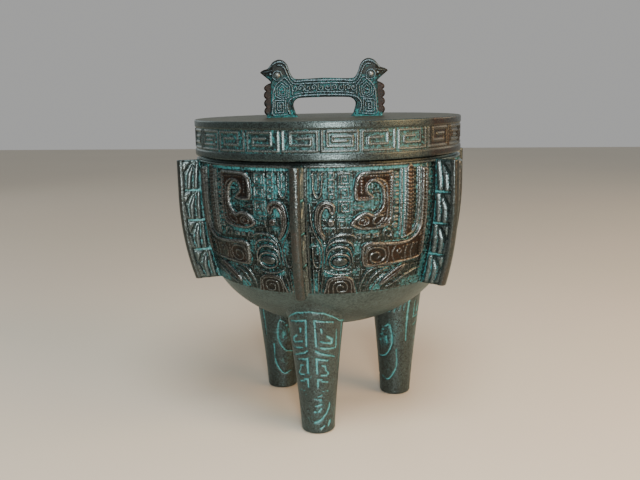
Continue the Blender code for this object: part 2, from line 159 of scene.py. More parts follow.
# Raised plates: height, how far their field lies below their rim, and outline
MASK_PLATES = {
    "horn": (2.1, 0.75, ((51.4, 68.5), (46.7, 67.2), (40.4, 67.2), (37.4, 68.5), (36.8, 74.2),
        (37.6, 81.2), (39.8, 85.6), (43.9, 87.5), (51.4, 87.9), (59.3, 87.9), (65.6, 87.5),
        (65.8, 79.6), (65.8, 58.1), (64.9, 53.1), (63.2, 49.6), (58.5, 47.7), (51.4, 46.7),
        (43.6, 46.7), (38.8, 47.9), (35.7, 49.5), (34, 51.5), (35.7, 54.2), (38.8, 57.2),
        (43.6, 59.5), (47.5, 59.6), (50.6, 58.1), (53, 58.8), (55.7, 61.2), (57.1, 64.2),
        (57.4, 69.6), (56.9, 74.2), (55.7, 76.9), (53.4, 79.2), (50.6, 80), (48.3, 78.8),
        (47.1, 76.5), (47.6, 73.5), (50.6, 71.2))),
    "brow": (1.9, 0.5, ((24.5, 61.2), (24.4, 64.2), (22.8, 66.7), (19.6, 68.1), (15.6, 67.9),
        (12.5, 66.2), (10.5, 63.1), (9.6, 58.8), (9.3, 54.2), (9.9, 49.6), (11.3, 45.8),
        (13.3, 42.5), (15.9, 39.9), (17.4, 41.2), (17, 43.5), (15.6, 45.8), (14.6, 49.6),
        (14.5, 54.2), (14.9, 58.1), (16, 60.8), (17.8, 62.7), (19.3, 61.9), (20, 59.6),
        (21.7, 57.9), (23.6, 58.8))),
    "cheek": (2.0, 0.7, ((42.8, 33.5), (43.7, 35.9), (46.7, 37.7), (51.4, 38.2), (59.3, 37.5),
        (67.1, 37.0), (75, 37.0), (82.1, 38.0), (87.4, 41.0), (89.9, 45.8), (90.3, 51.9),
        (90.4, 86.6), (91.4, 88.0), (95.4, 88.0), (96.4, 86.6), (96.4, 30.0), (95.6, 24.4),
        (91.8, 21.6), (82.9, 20.7), (67.1, 19.9), (55.3, 19.2), (47.5, 19.2), (44.5, 20.7),
        (42.9, 25.8))),
    "jaw": (1.6, 0.45, ((14.6, -6), (16.2, 6.5), (17.4, 11), (20.7, 13.2), (27.8, 14.1),
        (33.3, 13.3), (37.3, 11.2), (38.7, 8.1), (40.0, -6))),
    "claw": (2.0, 0.0, ((59.3, 5), (61.6, 9.6), (65.6, 12.7), (70.3, 15.8), (75, 18.1),
        (79.9, 19.3), (81.4, 18.2), (78.5, 14.2), (73.4, 10.4), (67.1, 6.9), (61.6, 4.4))),
    "bump": (1.5, 0.0, ((18.5, 54.2), (20, 55.3), (22.8, 54.8), (23.7, 52.8), (22.8, 50.5),
        (20, 50.1), (18.4, 51.8))),
}
# Flat bands, and ridges that are round over their whole width: height and stations
MASK_BANDS = {
    "brown_band": (1.3, ((80.2, 87.9, 6.2), (80.2, 46.6, 6.2), (78.9, 43.4, 4.7))),
    "edge_strip": (0.8, ((3, 92.7, 4.4), (3, -0.2, 4.4))),
}
MASK_RIDGES = {
    "body_ridge": (2.0, ((87.6, 87.9, 2.8), (87.6, 51.9, 2.8), (86.6, 46.5, 2.8),
        (83.6, 42.6, 2.6), (79.2, 40.4, 2.2), (74.6, 39.2, 1.4))),
    "rope_one": (1.6, ((72.5, 87.9, 1.8), (72.5, 41.2, 1.8))),
    "rope_two": (1.5, ((75.8, 87.9, 1.4), (75.8, 41.4, 1.4))),
    "hook": (1.1, ((8.9, 87, 1.2), (9.1, 79.6, 1.5), (9.6, 73.5, 1.7), (11.9, 70.2, 1.8),
        (14.3, 72.5, 1.7), (15.0, 78.1, 1.5), (15.4, 86.7, 1.2))),
    "hook_tongue": (0.9, ((12.7, 86.7, 1.3), (12.7, 75.8, 1.3))),
    "eye_arc_one": (1.4, ((18.5, 37.9, 1.1), (20.6, 41.2, 1.7), (24.7, 43.2, 2), (30.2, 44.1, 2),
        (35.7, 43.5, 1.7), (38.8, 41.3, 0.9))),
    "eye_arc_two": (1.7, ((17, 29.6, 1.1), (18.4, 35.8, 1.9), (22.3, 39, 2.2), (27.4, 39.9, 2.2),
        (32.5, 39.2, 2.2), (36.3, 36.4, 1.7), (37.9, 31.2, 0.9))),
    "eye_arc_three": (2.1, ((16.7, 21.2, 0.9), (17.6, 28.1, 1.9), (20.4, 33.5, 2.4),
        (27, 35.6, 2.7), (33.3, 33.5, 2.4), (36.2, 28.1, 1.9), (36.9, 21.9, 0.9))),
    "eye_ring": (2.1, ((19.3, 24.6, 1.9), (21.4, 28.7, 2.2), (27.2, 30.2, 2.5), (32.7, 28.7, 2.2),
        (34.9, 24.6, 1.9), (33, 20.5, 2), (27.2, 18.8, 2.2), (21.4, 20.5, 2), (19.3, 24.6, 1.9))),
    "eye_low": (1.5, ((15.9, 17.6, 0.9), (20, 15.8, 1.6), (26.3, 14.8, 1.9), (32.5, 15.2, 1.6),
        (36.6, 16.7, 0.9))),
    "nose_one": (1.3, ((6.6, 66.4, 0.8), (6.9, 58.8, 1.1), (7.8, 51.2, 1.3), (9.9, 44.2, 1.3),
        (13, 39, 1.4), (14.8, 33.5, 1.4), (15.1, 27.3, 1.4), (14.1, 21.2, 1.3),
        (14.9, 17.3, 0.9))),
    "nose_loop": (1.2, ((7.8, 34.2, 0.9), (7.5, 27.3, 1.1), (8.5, 21.9, 1.1), (10.7, 20.2, 1.1),
        (12.4, 22.4, 1.1), (12.7, 28.8, 1.1), (12.4, 35, 0.9))),
    "nose_two": (1.0, ((7.4, 17.8, 0.9), (7.1, -0.1, 1.1))),
    "nose_three": (1.2, ((11.3, 17.8, 1.1), (10.4, -0.1, 1.3))),
    "nose_four": (1.2, ((15.1, 15.8, 0.9), (13.4, 8.1, 1.1), (12.9, -0.1, 1.1))),
    "fang_one": (1.6, ((43.2, 3, 0.8), (45.3, 10.1, 1.4), (48.3, 15.5, 1.6), (53.3, 18.1, 1.6),
        (60.9, 18.8, 1.3), (69.5, 19.5, 0.8))),
    "fang_two": (1.5, ((49.5, 3.8, 0.8), (51.4, 9.5, 1.4), (54.7, 13.3, 1.6), (59.3, 15.9, 1.4),
        (65.6, 17.6, 0.8))),
    "fang_three": (1.3, ((53.4, 0.2, 0.8), (55.6, 5.4, 1.2), (59.0, 9.9, 1.3), (63.4, 13.4, 1.0))),
    "low_ridge": (1.3, ((67.1, 2.7, 1.4), (74.2, 5.8, 1.7), (82.1, 9.6, 2), (90.7, 12.7, 1.7),
        (97.8, 13.8, 1.3))),
    "arrow_one": (1.0, ((35.7, 64.4, 0.9), (40.1, 64.4, 1.1), (43.9, 62.7, 0.8))),
    "arrow_two": (1.0, ((35.7, 61.5, 0.9), (39.5, 61.2, 1.1), (41.4, 62.1, 0.8))),
    "swirl": (1.3, ((60.2, 41.2, 0.8), (59.4, 44.2, 1.1), (61.3, 46.4, 1.3), (64.6, 45.8, 1.3),
        (65.9, 43.3, 1.1), (64.5, 41.2, 1.1), (62.1, 41.6, 0.9), (62.3, 43.6, 0.8))),
}
# Fine raised lines on the plates and on the ground
MASK_LINES = {
    "horn_line": ((39.5, 69, 0.6), (39, 78.8, 0.7), (41.5, 84.4, 0.7), (46.7, 86.1, 0.7),
        (56.1, 86.2, 0.7), (63.2, 85.3, 0.7), (64, 71.9, 0.7), (64, 58.8, 0.7), (62.9, 53.5, 0.6),
        (58.5, 49.6, 0.6)),
    "horn_inner": ((48.6, 81.2, 0.6), (53.3, 82.1, 0.7), (58.5, 79.9, 0.7), (61, 75, 0.7),
        (61.3, 58.1, 0.7), (60.1, 53.5, 0.6), (56.1, 50.4, 0.6)),
    "leaf_line": ((36.6, 51.2, 0.6), (39.6, 55.3, 0.6), (44.3, 57.6, 0.7), (47.5, 57.6, 0.7),
        (50.3, 56.1, 0.7), (53.8, 57.2, 0.7), (57.9, 59.2, 0.6)),
    "leaf_low": ((36.6, 50.8, 0.6), (40.4, 49, 0.6), (46.7, 48.2, 0.7), (54.6, 48.8, 0.7),
        (59.3, 50.5, 0.6)),
    "leaf_ring": ((40.1, 53, 0.6), (41.7, 55.5, 0.7), (44.7, 56.1, 0.7), (47.3, 54.5, 0.7),
        (47.2, 51.9, 0.7), (44, 50.5, 0.7), (40.9, 51.2, 0.6), (40.1, 53, 0.6)),
    "leaf_core": ((42.8, 53.5, 0.6), (44, 54.4, 0.6), (45.3, 53.5, 0.6), (44.5, 52.2, 0.6)),
    "leaf_tip_ring": ((50.6, 51.9, 0.6), (51.9, 54.7, 0.7), (55, 56.5, 0.7), (57.7, 56.5, 0.7),
        (57.9, 54.5, 0.7), (55.5, 52.2, 0.7), (52.4, 50.8, 0.7), (50.6, 51.9, 0.6)),
    "brow_line": ((22.8, 61.9, 0.6), (22.3, 64.5, 0.6), (19.5, 66.2, 0.7), (15.6, 65.9, 0.7),
        (12.6, 61.9, 0.8), (11.8, 55, 0.8), (12.6, 48.8, 0.8), (15.2, 42.4, 0.6)),
    "cheek_line": ((44.8, 22.7, 0.6), (44.5, 31.9, 0.7), (46.4, 35, 0.7), (51.4, 36.1, 0.7),
        (60.9, 35.3, 0.7), (71.9, 34.8, 0.6), (81.3, 35.6, 0.6)),
    "cheek_ring": ((63.6, 22.0, 0.7), (56.0, 21.0, 0.8), (48.2, 21.4, 0.8), (45.9, 24.8, 0.8),
        (46.2, 30.4, 0.8), (49.0, 34.6, 0.8), (55.0, 35.4, 0.8), (61.6, 33.8, 0.7)),
    "cheek_spiral": ((47.6, 23.5, 0.6), (47, 29.6, 0.7), (49.5, 33, 0.8), (54.6, 33.8, 0.8),
        (59.8, 32.2, 0.8), (62.1, 28.2, 0.8), (59.8, 23.8, 0.8), (54.6, 22.4, 0.8),
        (50.6, 24.2, 0.8), (49.8, 27.6, 0.7), (52.4, 29.9, 0.7), (56.1, 29.6, 0.7),
        (57.4, 27, 0.6), (55.2, 25.5, 0.6)),
    "cheek_tail": ((63.2, 33.5, 0.6), (64.5, 28.1, 0.7), (63.7, 21.9, 0.6)),
    "cheek_tail_two": ((69.5, 33.5, 0.6), (67.1, 28.1, 0.7), (69.5, 22.3, 0.6)),
    "cheek_eye": ((71.1, 29.6, 0.6), (73.1, 31.2, 0.6), (75.2, 29.6, 0.6), (73.1, 27.9, 0.6),
        (71.1, 29.6, 0.6)),
    "cheek_bar_one": ((79.7, 33.5, 0.7), (78.5, 28.1, 0.7), (80, 21.9, 0.6)),
    "cheek_bar_two": ((85.2, 34.2, 0.7), (83.7, 28.1, 0.7), (85.5, 22.2, 0.6)),
    "strip_line": ((91.9, 86.3, 0.7), (91.9, 44.2, 0.7), (90.4, 38.8, 0.6)),
    "strip_line_two": ((94.9, 86.3, 0.7), (94.9, 25.5, 0.6)),
    "jaw_line": ((18.2, 0.1, 0.6), (18.7, 6.5, 0.7), (20.9, 10.4, 0.7), (27.8, 11.6, 0.7),
        (33.3, 10.7, 0.7), (36.2, 7.6, 0.7), (36.6, 0.1, 0.6)),
    "jaw_spiral": ((22.3, 0.5, 0.6), (22, 5.8, 0.7), (24, 8.7, 0.7), (29.4, 9.3, 0.7),
        (32.7, 7.3, 0.7), (33, 3, 0.7), (29.4, 1.2, 0.6), (25.6, 2.2, 0.6), (25.2, 5.5, 0.6),
        (28.1, 6.7, 0.6), (30.2, 5.3, 0.6)),
    "claw_line": ((62.4, 6.5, 0.6), (67.1, 9.8, 0.7), (72.7, 13.2, 0.7), (78.2, 17.2, 0.6)),
    "claw_line_two": ((66.6, 7.9, 0.5), (71.4, 10.6, 0.6), (76.6, 14.2, 0.5)),
}
KEY_ONE = ((25.9, 56.7, 0.9), (30.8, 56.7, 0.9), (30.8, 53.5, 0.9), (26.9, 53.5, 0.9),
    (26.9, 49, 0.9), (31.6, 49, 0.9))
# Square spirals and squares: middle, width and height
SPIRALS = ((30.2, 83.0, 8.6, 8.0), (30.2, 73.7, 9.2, 8.6), (30.3, 63.9, 8.8, 8.0),
    (21.6, 85.6, 4.6, 3.8), (21.6, 81.0, 4.6, 4.4), (21.6, 76.0, 4.6, 4.4), (21.6, 71.2, 4.6, 4.2),
    (40.6, 42.6, 4.4, 4.0), (6.9, 48.5, 2.6, 5.2), (6.7, 56.0, 2.4, 5.2))
SQUARES = ((47.3, 42.5, 3.9, 3.5), (53.5, 42.5, 4.7, 3.5), (68.5, 83.6, 4.2, 4.4),
    (68.5, 77.6, 4.2, 4.4), (68.5, 71.6, 4.2, 4.4), (68.5, 65.6, 4.2, 4.4), (68.5, 59.6, 4.2, 4.4),
    (68.5, 53.8, 4.2, 4.2), (68.5, 48.4, 4.0, 3.8))


# A plate's rounded edge, the width of its rim, and the way in which its field falls
PLATE_EDGE = 0.9
PLATE_RIM = 1.5
PLATE_FALL = 0.7
BLOCK_EDGE = 0.5
FINE_LINE_RISE = 0.8
FINE_LINE_SWELL = 1.3
SPIRAL_PITCH = 2.0
SPIRAL_LINE = 1.05
SPIRAL_HEIGHT = 1.0
SQUARE_HEIGHT = 1.2
# The ground of small spirals: its cells, the gap between them, pitch, line and height
GROUND_CELL = 6.2
GROUND_GAP = 1.0
GROUND_PITCH = 2.0
GROUND_LINE = 1.0
GROUND_HEIGHT = 0.5
# The spirals fade out where the relief, averaged over this reach, comes up to this height.
GROUND_REACH = 0.45
GROUND_CLEAR = 0.3
# The eyeball's middle, half width and half height
EYEBALL = (27.3, 24.6, 6.6, 3.8)
EYEBALL_HEIGHT = 2.6
# Height and width of the line under the rim, how far it stands out, and its rounding
TOP_LINE = (91.4, 2.0, 0.7, 0.6)
# Rows of beads: start, end, pitch, bead radius and height
MASK_BEADS = (
    ((58.9, 57.5), (58.9, 80.0), 1.9, 0.7, 0.55), ((62.6, 56.0), (62.6, 84.0), 1.9, 0.7, 0.55),
    ((40.6, 69.6), (49.8, 69.6), 1.9, 0.65, 0.5), ((42.6, 73.0), (42.6, 83.0), 1.9, 0.65, 0.5),
    ((45.0, 84.4), (61.0, 84.0), 1.9, 0.65, 0.45), ((72.5, 42.0), (72.5, 87.5), 1.7, 0.8, 0.5),
    ((75.8, 42.0), (75.8, 87.5), 1.7, 0.7, 0.4), ((87.6, 52.0), (87.6, 87.5), 1.8, 1.0, 0.4),
    ((80.2, 46.5), (80.2, 86.0), 2.6, 1.2, 0.5), ((93.4, 25.0), (93.4, 86.0), 2.4, 0.9, 0.5),
    ((78.4, 47.5), (78.4, 86.5), 2.6, 0.7, 0.35), ((82.2, 47.5), (82.2, 86.5), 2.6, 0.7, 0.35),
    ((3.0, 3.0), (3.0, 88.0), 3.2, 1.0, 0.15), ((76.0, 24.0), (90.0, 25.0), 2.2, 0.8, 0.5),
    ((76.5, 32.5), (89.0, 34.0), 2.2, 0.8, 0.5), ((48.0, 21.6), (66.0, 22.2), 2.2, 0.7, 0.4),
)
# Where verdigris gathers: middle, half width, half height and strength
MASK_PATCHES = (
    (46.0, 89.5, 46.0, 1.0, 1.1), (6.9, 77.0, 1.7, 12.5, 0.85), (17.2, 74.5, 1.4, 5.0, 1.0),
    (51.4, 70.0, 5.2, 8.6, 0.72), (46.0, 64.2, 11.0, 2.8, 0.75), (17.6, 59.4, 2.4, 3.4, 0.95),
    (18.4, 48.0, 3.4, 2.2, 0.85), (71.2, 42.2, 3.2, 2.4, 0.95), (82.0, 44.4, 6.0, 1.6, 0.9),
    (47.0, 45.4, 10.0, 1.4, 0.95), (39.4, 34.0, 2.6, 5.4, 0.9), (40.0, 16.6, 3.4, 3.0, 0.8),
    (12.6, 36.0, 2.6, 5.6, 0.95), (8.4, 9.0, 2.4, 8.4, 0.9), (17.8, 15.4, 3.2, 2.2, 0.95),
    (56.4, 3.4, 4.6, 2.4, 1.1), (66.6, 17.0, 5.6, 2.6, 0.8), (100.6, 46.0, 3.2, 46.0, 0.85),
    (92.0, 4.2, 14.0, 3.6, 0.85), (26.0, 3.0, 12.0, 2.0, 0.6), (7.4, 31.0, 1.8, 9.0, 0.7),
    (21.0, 78.0, 4.6, 9.6, 0.85), (30.4, 69.0, 6.0, 18.0, 0.85), (12.0, 78.0, 4.0, 9.0, 0.8),
    (86.8, 49.0, 1.6, 6.0, 0.6), (69.0, 64.0, 2.8, 22.0, 0.65), (50.0, 78.0, 3.6, 3.0, 0.8),
)
# How far a hollow's surroundings are averaged, and the depths at which it starts and is full
HOLLOW_REACH = 0.9
HOLLOW_START = 0.06
HOLLOW_SPAN = 0.5
HOLLOW_GREEN = 0.75
PATCH_GREEN = 0.8
PATCH_LIMIT = 1.5
PATCH_FADE = 0.8
# A patch is green only where the relief is lower than this
LOW_LEVEL = 1.1
LOW_FADE = 0.7
# Worn tops stand above the relief averaged over this reach. Once lightened, they are partly real
# rubbing and partly painted highlight.
WEAR_REACH = 1.0
WEAR_SPAN = 0.45


def smooth_step(value):
    value = np.clip(value, 0, 1)
    return value * value * (3 - 2 * value)


def rounded(depth, reach):
    """Rises from 0 at an edge to 1 at the given depth inside it, as a quarter circle does."""
    share = np.clip(depth / reach, 0, 1)
    return np.sqrt(share * (2 - share))


def smooth_line(stations, closed=False, parts=5):
    """A curve through every station, with the parts between them divided."""
    points = np.array(stations, float)
    if closed:
        ends = (points[-1:], points[:2])
    else:
        ends = (2 * points[:1] - points[1:2], 2 * points[-1:] - points[-2:-1])
    row = np.vstack([ends[0], points, ends[1]])
    t = np.arange(parts)[:, None] / parts
    found = []
    for a, b, c, d in zip(row, row[1:], row[2:], row[3:]):
        cubic = 3 * b - a - 3 * c + d
        found.append(b + 0.5 * t * (c - a + t * (2 * a - 5 * b + 4 * c - d + t * cubic)))
    if not closed:
        found.append(points[-1:])
    return np.vstack(found)


def swollen(stations, times):
    """A line made wider."""
    return [(x, y, times * width) for x, y, width in stations]


def nearest_on(x, y, x0, y0, run_x, run_y):
    """The nearest place on a straight run, as a share of it, and how far away that is."""
    length = max(run_x**2 + run_y**2, SHORTEST**2)
    share = np.clip(((x - x0) * run_x + (y - y0) * run_y) / length, 0, 1)
    return share, np.hypot(x - x0 - share * run_x, y - y0 - share * run_y)


def line_depth(x, y, stations):
    """How far inside a line of changing width each point lies, negative outside."""
    depth = np.full(x.shape, -np.inf)
    for (x0, y0, width0), (x1, y1, width1) in zip(stations, stations[1:]):
        share, away = nearest_on(x, y, x0, y0, x1 - x0, y1 - y0)
        depth = np.maximum(depth, (width0 + (width1 - width0) * share) / 2 - away)
    return depth


def outline_depth(x, y, outline):
    """How far inside a closed outline each point lies, negative outside."""
    away = np.full(x.shape, np.inf)
    inside = np.zeros(x.shape, bool)
    for (x0, y0), (x1, y1) in zip(outline, np.roll(outline, -1, axis=0)):
        away = np.minimum(away, nearest_on(x, y, x0, y0, x1 - x0, y1 - y0)[1])
        if y0 != y1:
            inside ^= ((y0 > y) != (y1 > y)) & (x < (x1 - x0) * (y - y0) / (y1 - y0) + x0)
    return np.where(inside, away, -away)


def square_spiral(x, y, width, height, pitch, line):
    """The corners of a line that winds inwards in a rectangle."""
    left, right = x - (width - line) / 2, x + (width - line) / 2
    low, high = y - (height - line) / 2, y + (height - line) / 2
    corners = [(left, low)]
    while right - left > pitch / 2 and high - low > pitch / 2:
        corners += [(left, high), (right, high), (right, low), (left + pitch, low)]
        left, right, low, high = left + pitch, right - pitch, low + pitch, high - pitch
    return [(cx, cy, line) for cx, cy in corners]


def blurred(field, reach):
    """The field averaged over about the given reach in millimetres."""
    reach = reach / DRAWING_STEP
    steps_away = np.arange(-math.ceil(3 * reach), math.ceil(3 * reach) + 1)
    weights = np.exp(-0.5 * (steps_away / reach) ** 2)
    weights /= weights.sum()
    pad = len(steps_away) // 2
    for axis in (0, 1):
        wide = [(pad, pad) if axis == a else (0, 0) for a in (0, 1)]
        padded = np.pad(field, wide, mode="edge")
        field = np.apply_along_axis(np.convolve, axis, padded, weights, mode="valid")
    return field


class Drawing:
    """Relief on a flat sheet: how far each point stands out, how green it is, and how worn, which
    also paints highlights on its raised tops.
    """

    def __init__(self, left, right, low, high):
        self.xs = np.arange(left, right + DRAWING_STEP, DRAWING_STEP)
        self.ys = np.arange(low, high + DRAWING_STEP, DRAWING_STEP)
        self.height = np.zeros((len(self.ys), len(self.xs)))
        self.lines = np.zeros_like(self.height)
        self.green = np.zeros_like(self.height)

    def near(self, points, reach=1.0):
        """The part of the sheet round some points, and its coordinates."""
        low = np.min([p[:2] for p in points], axis=0) - reach
        high = np.max([p[:2] for p in points], axis=0) + reach
        i0, i1 = np.searchsorted(self.xs, (low[0], high[0]))
        j0, j1 = np.searchsorted(self.ys, (low[1], high[1]))
        x, y = np.meshgrid(self.xs[i0:i1], self.ys[j0:j1])
        return np.s_[j0:j1, i0:i1], x, y

    def raise_to(self, part, level):
        self.height[part] = np.maximum(self.height[part], level)

    def plate(self, outline, top, edge=PLATE_EDGE, sunk=0.0):
        """A flat shape with a rounded edge, whose field may lie below its rim."""
        part, x, y = self.near(outline)
        depth = outline_depth(x, y, outline)
        field = sunk * smooth_step((depth - PLATE_RIM) / PLATE_FALL)
        self.raise_to(part, rounded(depth, edge) * (top - field))

    def block(self, x, y, width, height, top):
        left, right, low, high = x - width / 2, x + width / 2, y - height / 2, y + height / 2
        corners = [(left, low), (right, low), (right, high), (left, high)]
        self.plate(np.array(corners), top, BLOCK_EDGE)

    def cover(self, stations, edge):
        """The part of the sheet round a line, and how fully the line covers each point."""
        widest = max(station[2] for station in stations)
        part, x, y = self.near(stations, widest)
        return part, rounded(line_depth(x, y, stations), edge or widest / 2)

    def band(self, stations, top, edge=PLATE_EDGE):
        """A raised line with rounded edges. Without an edge it is round over its whole width."""
        part, cover = self.cover(stations, edge)
        self.raise_to(part, cover * top)

    def ridge(self, stations, top):
        self.band(stations, top, None)

    def trace(self, stations, rise):
        """A fine line on top of whatever is there."""
        part, cover = self.cover(stations, None)
        self.lines[part] = np.maximum(self.lines[part], cover * rise)

    def carve(self, stations, depth, green=0.9):
        part, cover = self.cover(stations, None)
        self.lines[part] = np.minimum(self.lines[part], -depth * cover)
        self.green[part] = np.maximum(self.green[part], green * cover)

    def bead(self, x, y, radius, top):
        part, gx, gy = self.near([(x, y)], radius)
        cover = rounded(radius - np.hypot(gx - x, gy - y), radius)
        self.lines[part] = np.maximum(self.lines[part], top * cover)

    def beads(self, start, end, pitch, radius, top):
        """Beads set along a straight line."""
        count = max(1, round(math.dist(start, end) / pitch)) + 1
        for x, y in zip(*(np.linspace(a, b, count) for a, b in zip(start, end))):
            self.bead(x, y, radius, top)

    def fill_ground(self, cell, top):
        """Small spirals all over what is still flat, clear of what stands out."""
        clear = smooth_step(1 - blurred(self.height, GROUND_REACH) / GROUND_CLEAR)
        ground = Drawing(self.xs[0], self.xs[-1], self.ys[0], self.ys[-1])
        size = cell - GROUND_GAP
        for y in np.arange(self.ys[0] + cell / 2, self.ys[-1], cell):
            for x in np.arange(self.xs[0] + cell / 2, self.xs[-1], cell):
                ground.ridge(square_spiral(x, y, size, size, GROUND_PITCH, GROUND_LINE), top)
        rows, columns = self.height.shape
        self.height = np.maximum(self.height, ground.height[:rows, :columns] * clear)

    def finish(self, patches=()):
        """Adds the fine lines, and finds the hollows that verdigris fills and the worn tops, which
        are also lightened as painted highlight.
        """
        self.height += self.lines
        depth = blurred(self.height, HOLLOW_REACH) - self.height
        hollow = smooth_step((depth - HOLLOW_START) / HOLLOW_SPAN)
        x, y = np.meshgrid(self.xs, self.ys)
        patched = np.zeros_like(x)
        for middle_x, middle_y, half_width, half_height, strength in patches:
            across, up = (x - middle_x) / half_width, (y - middle_y) / half_height
            away = (across**4 + up**4) ** 0.25
            patched = np.maximum(patched, strength * smooth_step((PATCH_LIMIT - away) / PATCH_FADE))
        low = smooth_step((LOW_LEVEL - self.height) / LOW_FADE)
        found = np.maximum(HOLLOW_GREEN * hollow, PATCH_GREEN * patched * low)
        self.green = np.maximum(self.green, found)
        self.wear_and_highlight = smooth_step((self.height - blurred(self.height, WEAR_REACH)) / WEAR_SPAN)

    def sample(self, field, x, y):
        """The field at any points of the sheet."""
        u = np.clip((x - self.xs[0]) / DRAWING_STEP, 0, len(self.xs) - 1.001)
        v = np.clip((y - self.ys[0]) / DRAWING_STEP, 0, len(self.ys) - 1.001)
        i, j = u.astype(int), v.astype(int)
        a, b = u - i, v - j
        low = field[j, i] * (1 - a) + field[j, i + 1] * a
        high = field[j + 1, i] * (1 - a) + field[j + 1, i + 1] * a
        return low * (1 - b) + high * b

    def at(self, x, y):
        """Height, verdigris, and how worn and painted-highlit, at any points of the sheet."""
        return [self.sample(field, x, y) for field in (self.height, self.green, self.wear_and_highlight)]


def draw_mask():
    """The half mask: shapes raised from a ground of square spirals, with fine lines and beads."""
    sheet = Drawing(0, SHEET_WIDTH, 0, SHEET_HEIGHT)
    for top, sunk, outline in MASK_PLATES.values():
        sheet.plate(smooth_line(outline, closed=True, parts=3), top, sunk=sunk)
    for top, stations in MASK_BANDS.values():
        sheet.band(smooth_line(stations), top)
    plates = sheet.height.copy()
    for top, stations in MASK_RIDGES.values():
        sheet.ridge(smooth_line(stations), top)
    x, y, half_width, half_height = EYEBALL
    part, gx, gy = sheet.near([(x, y)], half_width)
    away = np.hypot((gx - x) / half_width, (gy - y) / half_height)
    sheet.raise_to(part, np.sqrt(np.clip(1 - away**2, 0, 1)) * EYEBALL_HEIGHT)
    # Brown shows on the plates and bands, where no ridge stands on them.
    sheet.warm = smooth_step((plates - 0.6) / 0.7) * smooth_step(1 - (sheet.height - plates) / 0.6)
    for spot in SPIRALS:
        sheet.ridge(square_spiral(*spot, SPIRAL_PITCH, SPIRAL_LINE), SPIRAL_HEIGHT)
    sheet.ridge(KEY_ONE, SPIRAL_HEIGHT)
    for x, y, width, height in SQUARES:
        sheet.block(x, y, width, height, SQUARE_HEIGHT)
        sheet.carve([(x - 0.6, y, 1.1), (x + 0.6, y, 1.1)], 0.7)
    sheet.fill_ground(GROUND_CELL, GROUND_HEIGHT)
    for stations in MASK_LINES.values():
        sheet.trace(smooth_line(swollen(stations, FINE_LINE_SWELL)), FINE_LINE_RISE)
    z, width, top, edge = TOP_LINE
    sheet.band([(0, z, width), (SHEET_WIDTH, z, width)], top, edge)
    for row in MASK_BEADS:
        sheet.beads(*row)
    sheet.finish(MASK_PATCHES)
    return sheet


# The pattern of a leg, in millimetres: way round from its outward line, height and width
LEG_LINES = (
    ((18.4, 91.0, 0.9), (10.8, 92.2, 1.1), (5.0, 93.4, 1.1), (3.2, 93.6, 1.2), (3.6, 80.0, 1.2),
        (3.8, 73.2, 1.2)),
    ((8.0, 86.4, 1.5), (8.4, 83.8, 1.1)),
    ((12.4, 80.4, 1.4), (14.4, 79.0, 1.5), (16.7, 77.2, 1.6), (16.2, 74.2, 1.5), (11.9, 75.0, 1.1),
        (7.2, 76.6, 1.2)),
    ((21.5, 84.0, 0.9), (21.2, 76.2, 1.0), (20.5, 69.6, 0.9), (13.5, 70.2, 1.0), (7.4, 71.4, 1.1)),
    ((3.4, 69.0, 1.2), (6.0, 67.2, 1.4), (12.4, 65.0, 1.1), (18.9, 62.6, 0.9)),
    ((12.2, 60.8, 1.0), (7.0, 61.8, 1.3), (3.6, 62.8, 1.4), (3.6, 57.4, 1.3), (3.6, 51.4, 1.3)),
    ((7.4, 56.8, 1.0), (10.0, 56.6, 1.1), (10.4, 53.2, 0.9), (12.7, 50.0, 1.1), (10.6, 48.6, 1.1),
        (6.8, 49.4, 1.1)),
    ((7.0, 45.4, 1.1), (3.9, 45.8, 1.3), (3.9, 39.6, 1.0)),
    ((7.4, 43.8, 0.9), (11.6, 43.2, 0.9)),
    ((7.4, 35.8, 0.8), (8.2, 35.6, 0.8)),
    ((10.8, 35.6, 0.8), (11.6, 35.4, 0.8)),
    ((6.4, 32.8, 0.8), (3.6, 31.6, 0.7)),
    ((5.4, 28.8, 1.2), (0.6, 29.8, 0.8)),
    ((5.8, 25.0, 1.0), (1.6, 23.6, 0.9)),
    ((5.8, 21.4, 1.0), (3.6, 19.0, 1.0)),
    ((0.4, 18.8, 1.3), (1.0, 18.7, 1.3)),
    ((12.8, 25.2, 1.1), (12.4, 22.0, 1.2), (10.1, 17.6, 1.1), (6.6, 13.6, 1.1), (3.2, 10.6, 1.4),
        (-0.6, 9.6, 1.3)),
    ((12.6, 10.0, 1.4), (11.2, 6.4, 1.3)),
    ((7.6, 6.6, 1.0), (4.4, 4.4, 0.9)),
)
# Lines towards the leg's inward side, measured from where that side starts
LEG_BACK_START = 33.0
LEG_BACK_LINES = (
    ((-3.2, 100.0, 1.3), (-4.6, 76.0, 1.4), (-8.6, 49.0, 0.9)),
    ((15.6, 48.0, 0.8), (13.6, 60.0, 1.0), (9.0, 64.0, 1.1), (5.0, 55.0, 1.1), (3.2, 46.0, 1.1),
        (6.4, 36.6, 1.1), (13.6, 34.0, 0.9)),
    ((9.6, 47.0, 0.9), (9.2, 54.0, 0.9), (7.6, 47.0, 0.8)),
    ((-2.0, 42.0, 0.9), (-4.8, 26.0, 1.1), (0.0, 14.4, 1.1), (6.8, 16.0, 0.9)),
)
LEG_SPIRALS = ((45.4, 84.0, 12.0, 17.0), (34.6, 84.0, 5.0, 14.0))
LEG_SPIRAL_PITCH = 4.0
LEG_SPIRAL_LINE = 1.5
LEG_LINE_DEPTH = 0.5
LEG_LINE_GREEN = 1.15
# Where a leg is thinly covered with verdigris: middle, half width, half height and strength
LEG_PATCHES = (
    (41.0, 57.0, 9.0, 13.0, 0.62), (36.0, 26.0, 9.0, 9.0, 0.35), (0.0, 84.0, 2.0, 10.0, 0.45),
    (14.0, 96.0, 12.0, 2.0, 0.5), (5.0, 24.0, 4.0, 7.0, 0.5),
)
# The seam under the bowl: way round from the outward line, and height
LEG_SEAM = ((0, 100.6), (11, 98.8), (18, 95.4), (26, 90.4), (40, 86.5))


